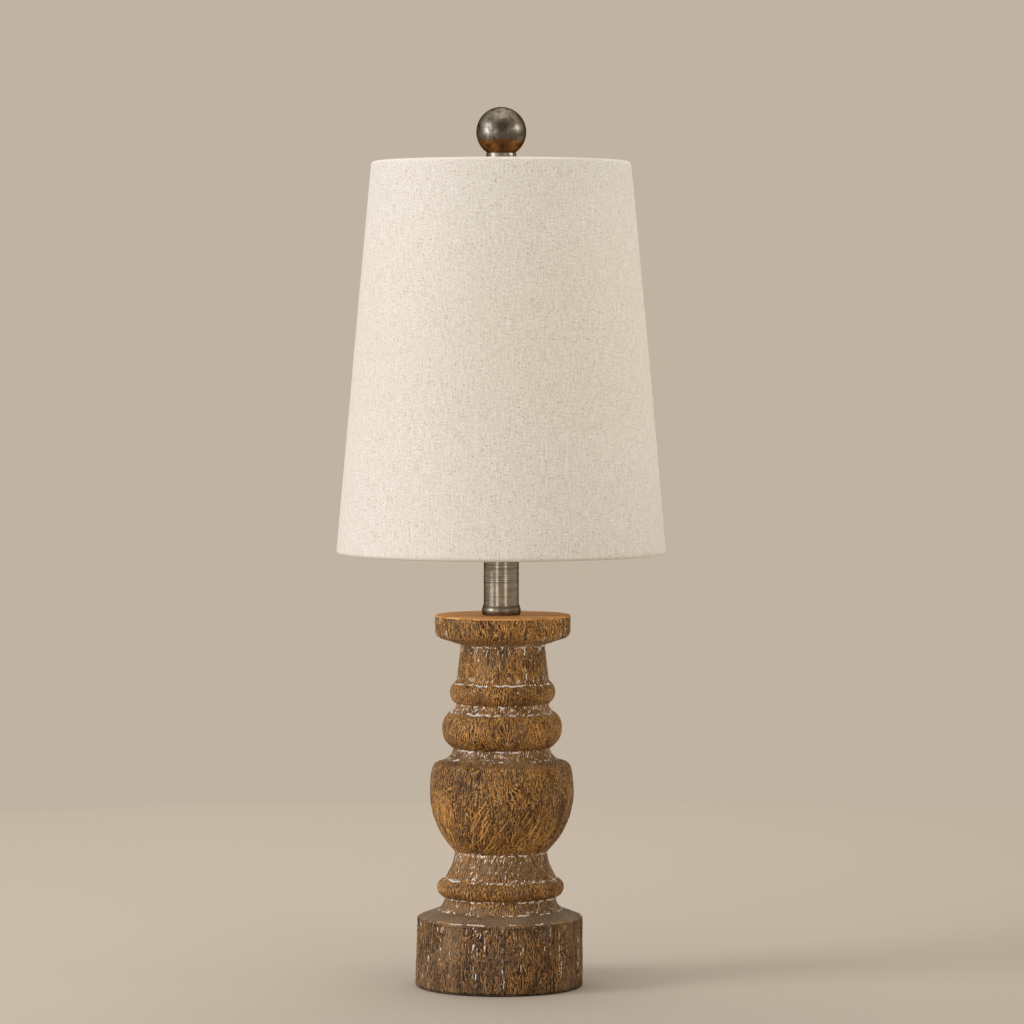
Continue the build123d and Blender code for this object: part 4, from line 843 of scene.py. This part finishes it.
def linen(name):
    """Off-white linen: uneven threads both ways, slubs and small tan flecks, with a painted glow round the
    height of the bulb.
    """
    shader = Shader(name)
    spot = shader.in_mm(shader.attribute("threads").outputs["Vector"])
    across = shader.noise(spot, (0.14, 1.8, 1), 2, 0.6)
    upright = shader.noise(spot, (1.8, 0.10, 1), 2, 0.6)
    curl = shader.noise(spot, (1.25, 0.95, 1), 1, 0.5, 0.7)
    slub = shader.noise(spot, (0.55, 0.022, 1), 1)
    weave = shader.total((across, 0.38), (upright, 0.50), (curl, 0.65))
    colour = shader.ramp(weave, *LINEN_TONES)
    colour = shader.mix(shader.step(slub, 0.62, 0.72, 0, 0.35), colour, SLUB_WHITE)
    fleck = shader.node("ShaderNodeTexVoronoi", {"Vector": spot, "Scale": 0.36, "Randomness": 1.0})
    dot = shader.step(fleck.outputs["Distance"], 0.14, 0.24, 1.0, 0.0)
    shown = shader.step(shader.rgb(fleck.outputs["Color"])[0], 0.42, 0.85)
    flecks = shader.math("MULTIPLY", shader.math("MULTIPLY", dot, shown), 0.55)
    colour = shader.mix(flecks, colour, FLECK_TAN)
    # A faint painted glow of the bulb's light round the height of the bulb.
    above = shader.away_from(shader.xyz(shader.mm)[2], BULB_MM)
    colour = shader.mix(shader.step(above, 15, 95, 0.32, 0.0), colour, PAINTED_BULB_GLOW, "MULTIPLY")
    shader.bump(weave, 0.5, 0.28 * MM)
    return shader.set(
        base_color=colour, roughness=0.86, specular_ior_level=0.2, sheen_weight=0.08, sheen_roughness=0.5
    )


NICKEL_TONES = (0.34, (0.10, 0.084, 0.062)), (0.52, (0.295, 0.265, 0.215)), (0.68, (0.51, 0.475, 0.41))
# Colours of the painted copper reflection on the ball's lower part.
COPPER_REFLECTION_TONES = (0.35, (0.13, 0.062, 0.024)), (0.52, (0.34, 0.16, 0.060)), (0.65, (0.54, 0.27, 0.10))
# The ball's tarnish colour, also used for a painted dark reflection, and that reflection's place in
# millimetres.
TARNISH_AND_DARK_REFLECTION = (0.035, 0.027, 0.020)
DARK_REFLECTION_MM = (1.0, -15.4, 536.8)


def aged_nickel(name, spots, roughness, brushed, copper_reflection_z=None, bright=1.0):
    """Turned antique nickel, browner in its hollows, with spots of tarnish. Given a copper height, below it the
    colour is a painted copper reflection of warm light from below. spots is the share of the tarnish in its
    tone, against that of the turned rings."""
    shader = Shader(name)
    rings = shader.noise(shader.mm, (0.02, 0.02, 1.5), 3, 0.65)
    stain = shader.noise(shader.mm, 0.17, 4, 0.65, 0.6)
    tone = shader.total((rings, 1 - spots), (stain, spots))
    colour = shader.ramp(tone, *((at, tuple(bright * c for c in tint)) for at, tint in NICKEL_TONES))
    if copper_reflection_z is not None:
        # Below the copper height the ball shows a painted warm copper reflection, with a wandering edge.
        wander = shader.math("MULTIPLY", shader.math("SUBTRACT", stain, 0.5), 7.0)
        height = shader.math("ADD", shader.xyz(shader.mm)[2], wander)
        wear_and_reflection = shader.step(height, copper_reflection_z / MM - 1.1, copper_reflection_z / MM + 0.9, 1.0, 0.0)
        # The ball is darker all over, most of all in one spot at the front, a painted dark reflection.
        apart = shader.node("ShaderNodeVectorMath", {0: shader.mm, 1: DARK_REFLECTION_MM}, operation="DISTANCE")
        colour = shader.mix(shader.step(apart.outputs["Value"], 1.5, 9.0, 0.85, 0.28), colour, TARNISH_AND_DARK_REFLECTION)
        colour = shader.mix(wear_and_reflection, colour, shader.ramp(stain, *COPPER_REFLECTION_TONES))
    rough = shader.step(tone, 0.3, 0.7, roughness + 0.05, roughness - 0.05)
    shader.bump(rings, 0.2, 0.08 * MM)
    return shader.set(
        base_color=colour,
        metallic=1.0,
        roughness=rough,
        specular_tint=(0.12, 0.11, 0.10, 1),
        anisotropic=brushed,
        anisotropic_rotation=0.25,
    )


def plain(name, colour, roughness, metallic=0.0, speckle=0.08, scale=0.8, relief=0.15, **more):
    """A plain finish with a little uneven tone and relief."""
    shader = Shader(name)
    tone = shader.noise(shader.mm, scale, 3, 0.6)
    low = tuple(c * (1 - speckle) for c in colour)
    high = tuple(min(1, c * (1 + speckle)) for c in colour)
    shader.bump(tone, relief, 0.1 * MM)
    rough = shader.step(tone, 0.3, 0.7, roughness * 0.9, min(1, roughness * 1.1))
    mottled = shader.ramp(tone, (0.35, low), (0.65, high))
    return shader.set(base_color=mottled, roughness=rough, metallic=metallic, **more)


def felt(name):
    """Dark green felt with a soft nap."""
    shader = Shader(name)
    fuzz = shader.noise(shader.mm, 2.5, 5, 0.8, 0.5)
    shader.bump(fuzz, 0.9, 0.3 * MM)
    colour = shader.ramp(fuzz, (0.3, (0.012, 0.016, 0.012)), (0.7, (0.035, 0.045, 0.034)))
    return shader.set(base_color=colour, roughness=0.95, specular_ior_level=0.1, sheen_weight=0.3)


def dress(piece, material):
    piece.data.materials.clear()
    piece.data.materials.append(material)


def give(material, *names):
    """Puts a material on CAD nodes."""
    for name in names:
        dress(nodes[name], material)


# ---------- build the pieces
column = make_column()
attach(column, "base")
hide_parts("turned_column")

plinth = make_plinth()
cut_with(plinth, [inlet_cutter()])
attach(plinth, "base")
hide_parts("plinth")

cover = make_cover()
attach(cover, "shade")
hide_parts("shade_fabric")

pad = make_felt()
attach(pad, "base")
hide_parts("felt_pad")

disc_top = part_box("turned_column")[1].z
far_above = 1.0
column_tones = (0.075, 0.033, 0.009), (0.24, 0.110, 0.026), (0.45, 0.212, 0.050)
plinth_tones = (0.044, 0.020, 0.007), (0.130, 0.060, 0.018), (0.29, 0.138, 0.041)
dress(column, wood("column_wood", *column_tones, ridges=150, top_z=disc_top))
dress(plinth, wood("plinth_wood", *plinth_tones, ridges=190, top_z=far_above))
dress(cover, linen("linen_cloth"))
dress(pad, felt("felt_cloth"))

brushed_nickel = aged_nickel("brushed_nickel", spots=0.3, roughness=0.28, brushed=0.7, bright=1.3)
give(brushed_nickel, "neck_tube", "neck_cap")
give(aged_nickel("aged_nickel", spots=0.3, roughness=0.38, brushed=0.4), "neck_ring", "finial_base")
# The ball: its lower part is a painted copper reflection, with a painted dark reflection at the front.
nickel_painted_reflections = aged_nickel("nickel_painted_reflections", spots=0.85, roughness=0.38, brushed=0.0, copper_reflection_z=0.5295)
give(nickel_painted_reflections, "finial_ball")

zinc_steel = plain("zinc_steel", (0.55, 0.56, 0.57), 0.34, metallic=1.0)
give(zinc_steel, "lamp_pipe", "bottom_washer", "bottom_nut", "swivel_stud")
cast_iron = plain("cast_iron", (0.055, 0.052, 0.050), 0.75, metallic=0.6, speckle=0.3, scale=0.9, relief=0.8)
give(cast_iron, "ballast_weight")
give(plain("black_plastic", (0.02, 0.02, 0.021), 0.38), "cord_bushing", "key_knob")

harp_metal = plain("harp_metal", (0.50, 0.42, 0.29), 0.30, metallic=1.0, speckle=0.12)
give(harp_metal, "harp_saddle", "saddle_nut", "harp_wire_left", "harp_wire_right", "harp_crown")
give(harp_metal, "harp_ferrule_left", "harp_ferrule_right")

socket_brass = plain("socket_brass", (0.72, 0.52, 0.24), 0.24, metallic=1.0)
give(socket_brass, "socket_cap", "socket_shell", "socket_set_screw", "key_bushing", "key_shaft")
give(socket_brass, "terminal_screws")
thread_brass = plain("thread_brass", (0.66, 0.48, 0.24), 0.36, metallic=1.0, speckle=0.1)
give(thread_brass, "screw_shell", "centre_contact")
give(plain("liner_board", (0.60, 0.50, 0.36), 0.9, speckle=0.12, scale=1.6, relief=0.5), "socket_liner")
give(plain("phenolic", (0.028, 0.020, 0.016), 0.42), "socket_body")

give(plain("cap_metal", (0.75, 0.75, 0.74), 0.32, metallic=1.0), "bulb_cap")
give(plain("black_glass", (0.015, 0.015, 0.017), 0.12), "bulb_insulator")
give(plain("solder", (0.55, 0.55, 0.56), 0.35, metallic=1.0, speckle=0.15), "bulb_tip")
give(plain("filament", (0.32, 0.31, 0.30), 0.4, metallic=1.0), "bulb_filament")
lead_glass = plain("lead_glass", (0.92, 0.94, 0.93), 0.05, speckle=0.01, transmission_weight=0.9, ior=1.56)
give(lead_glass, "bulb_stem")
see_through = {"transmission_weight": 1.0, "ior": 1.5}
give(plain("bulb_glass", (0.97, 0.97, 0.96), 0.06, speckle=0.01, relief=0.02, **see_through), "bulb_glass")

frame_paint = plain("frame_paint", (0.80, 0.79, 0.76), 0.35, speckle=0.03)
give(frame_paint, "shade_top_ring", "shade_bottom_ring", "spider_hub", "spider_arms")
give(plain("shade_styrene", (0.86, 0.84, 0.79), 0.5, speckle=0.02), "shade_liner")

# ---------- floor, light and camera
FLOOR_RADIUS = 1.09
FLOOR_CORNERS = 96
corners = [(FLOOR_RADIUS * math.cos(a), FLOOR_RADIUS * math.sin(a), 0) for a in round_angles(FLOOR_CORNERS)]
floor_mesh = bpy.data.meshes.new("floor")
floor_mesh.from_pydata(corners, [], [list(range(FLOOR_CORNERS))])
floor = bpy.data.objects.new("floor", floor_mesh)
bpy.context.scene.collection.objects.link(floor)
floor_shader = Shader("floor_paint")
dress(floor, floor_shader.set(base_color=(0.54, 0.465, 0.38), roughness=0.9, specular_ior_level=0.1))

COOL_WHITE = (0.96, 0.967, 1.04)
WARM_WHITE = (1.0, 0.98, 0.96)
WARMER_WHITE = (1.0, 0.965, 0.90)


def softbox(name, place, target, size, power, colour, spread=None):
    """A lamp of a width and height in metres and a power in watts; a spread in degrees narrows its beam."""
    data = bpy.data.lights.new(name, "AREA")
    data.shape = "RECTANGLE"
    data.size, data.size_y = size
    data.energy = power
    data.color = colour
    if spread is not None:
        data.spread = math.radians(spread)
    light = bpy.data.objects.new(name, data)
    light.location = place
    light.rotation_mode = "QUATERNION"
    light.rotation_quaternion = (Vector(target) - Vector(place)).to_track_quat("-Z", "Y")
    light.visible_camera = False
    bpy.context.scene.collection.objects.link(light)
    return light


def round_the_lamp(azimuth, distance, height):
    """A place round the lamp: azimuth 0 is towards the camera, positive to the right."""
    a = math.radians(azimuth)
    return (distance * math.sin(a), -distance * math.cos(a), height)


softbox("key", round_the_lamp(-66, 2.0, 1.0), (0, 0, 0.3), (0.9, 1.1), 25.5, COOL_WHITE)
fill = softbox("fill", round_the_lamp(78, 1.6, 0.62), (0, 0, 0.42), (0.5, 0.3), 0.30, WARM_WHITE, spread=28)
fill.visible_glossy = False
# A glint on the ball, which adds no light to the shade.
glint_place = round_the_lamp(82, 1.6, 0.92)
glint = softbox("glint", glint_place, (0, 0, 0.55), (0.18, 0.24), 0.045, WARM_WHITE, spread=14)
glint.visible_diffuse = False
for side, azimuth in (("strip_left", -28), ("strip_right", 29)):
    softbox(side, round_the_lamp(azimuth, 1.9, 0.45), (0, 0, 0.35), (0.40, 1.2), 3.0, WARMER_WHITE)
softbox("overhead", (0.0, -0.2, 2.3), (0, 0, 0.2), (1.4, 1.4), 14, WARM_WHITE)
softbox("rear", (0.0, 1.1, 2.0), (0, 1.0, 0), (2.4, 1.0), 7, WARM_WHITE, spread=100)

# The world: one sky lights the lamp, and another is what the camera, gloss and glass see.
world = bpy.data.worlds.new("studio")
bpy.context.scene.world = world
world.use_nodes = True
tree = world.node_tree
tree.nodes.clear()


def sky(colour, strength):
    made = tree.nodes.new("ShaderNodeBackground")
    made.inputs["Color"].default_value = (*colour, 1)
    made.inputs["Strength"].default_value = strength
    return made.outputs[0]


path = tree.nodes.new("ShaderNodeLightPath")
seen = path.outputs["Is Camera Ray"]
for ray in ("Is Glossy Ray", "Is Transmission Ray"):
    either = tree.nodes.new("ShaderNodeMath")
    either.operation = "MAXIMUM"
    tree.links.new(seen, either.inputs[0])
    tree.links.new(path.outputs[ray], either.inputs[1])
    seen = either.outputs[0]
chosen = tree.nodes.new("ShaderNodeMixShader")
tree.links.new(seen, chosen.inputs[0])
tree.links.new(sky((1.0, 0.955, 0.89), 0.36), chosen.inputs[1])
tree.links.new(sky((0.53, 0.45, 0.362), 1.0), chosen.inputs[2])
tree.links.new(chosen.outputs[0], tree.nodes.new("ShaderNodeOutputWorld").inputs["Surface"])

CAMERA_PLACE = (0.0067, -2.812, 0.4142)
CAMERA_DIP = 2.38
camera_data = bpy.data.cameras.new("camera")
camera_data.sensor_width = 36
camera_data.lens = 158.2
camera_data.clip_start = 0.05
camera_data.clip_end = 60
camera = bpy.data.objects.new("camera", camera_data)
camera.location = CAMERA_PLACE
camera.rotation_euler = (math.radians(90 - CAMERA_DIP), 0, 0)
bpy.context.scene.collection.objects.link(camera)
bpy.context.scene.camera = camera
bpy.context.scene.view_settings.view_transform = "Standard"
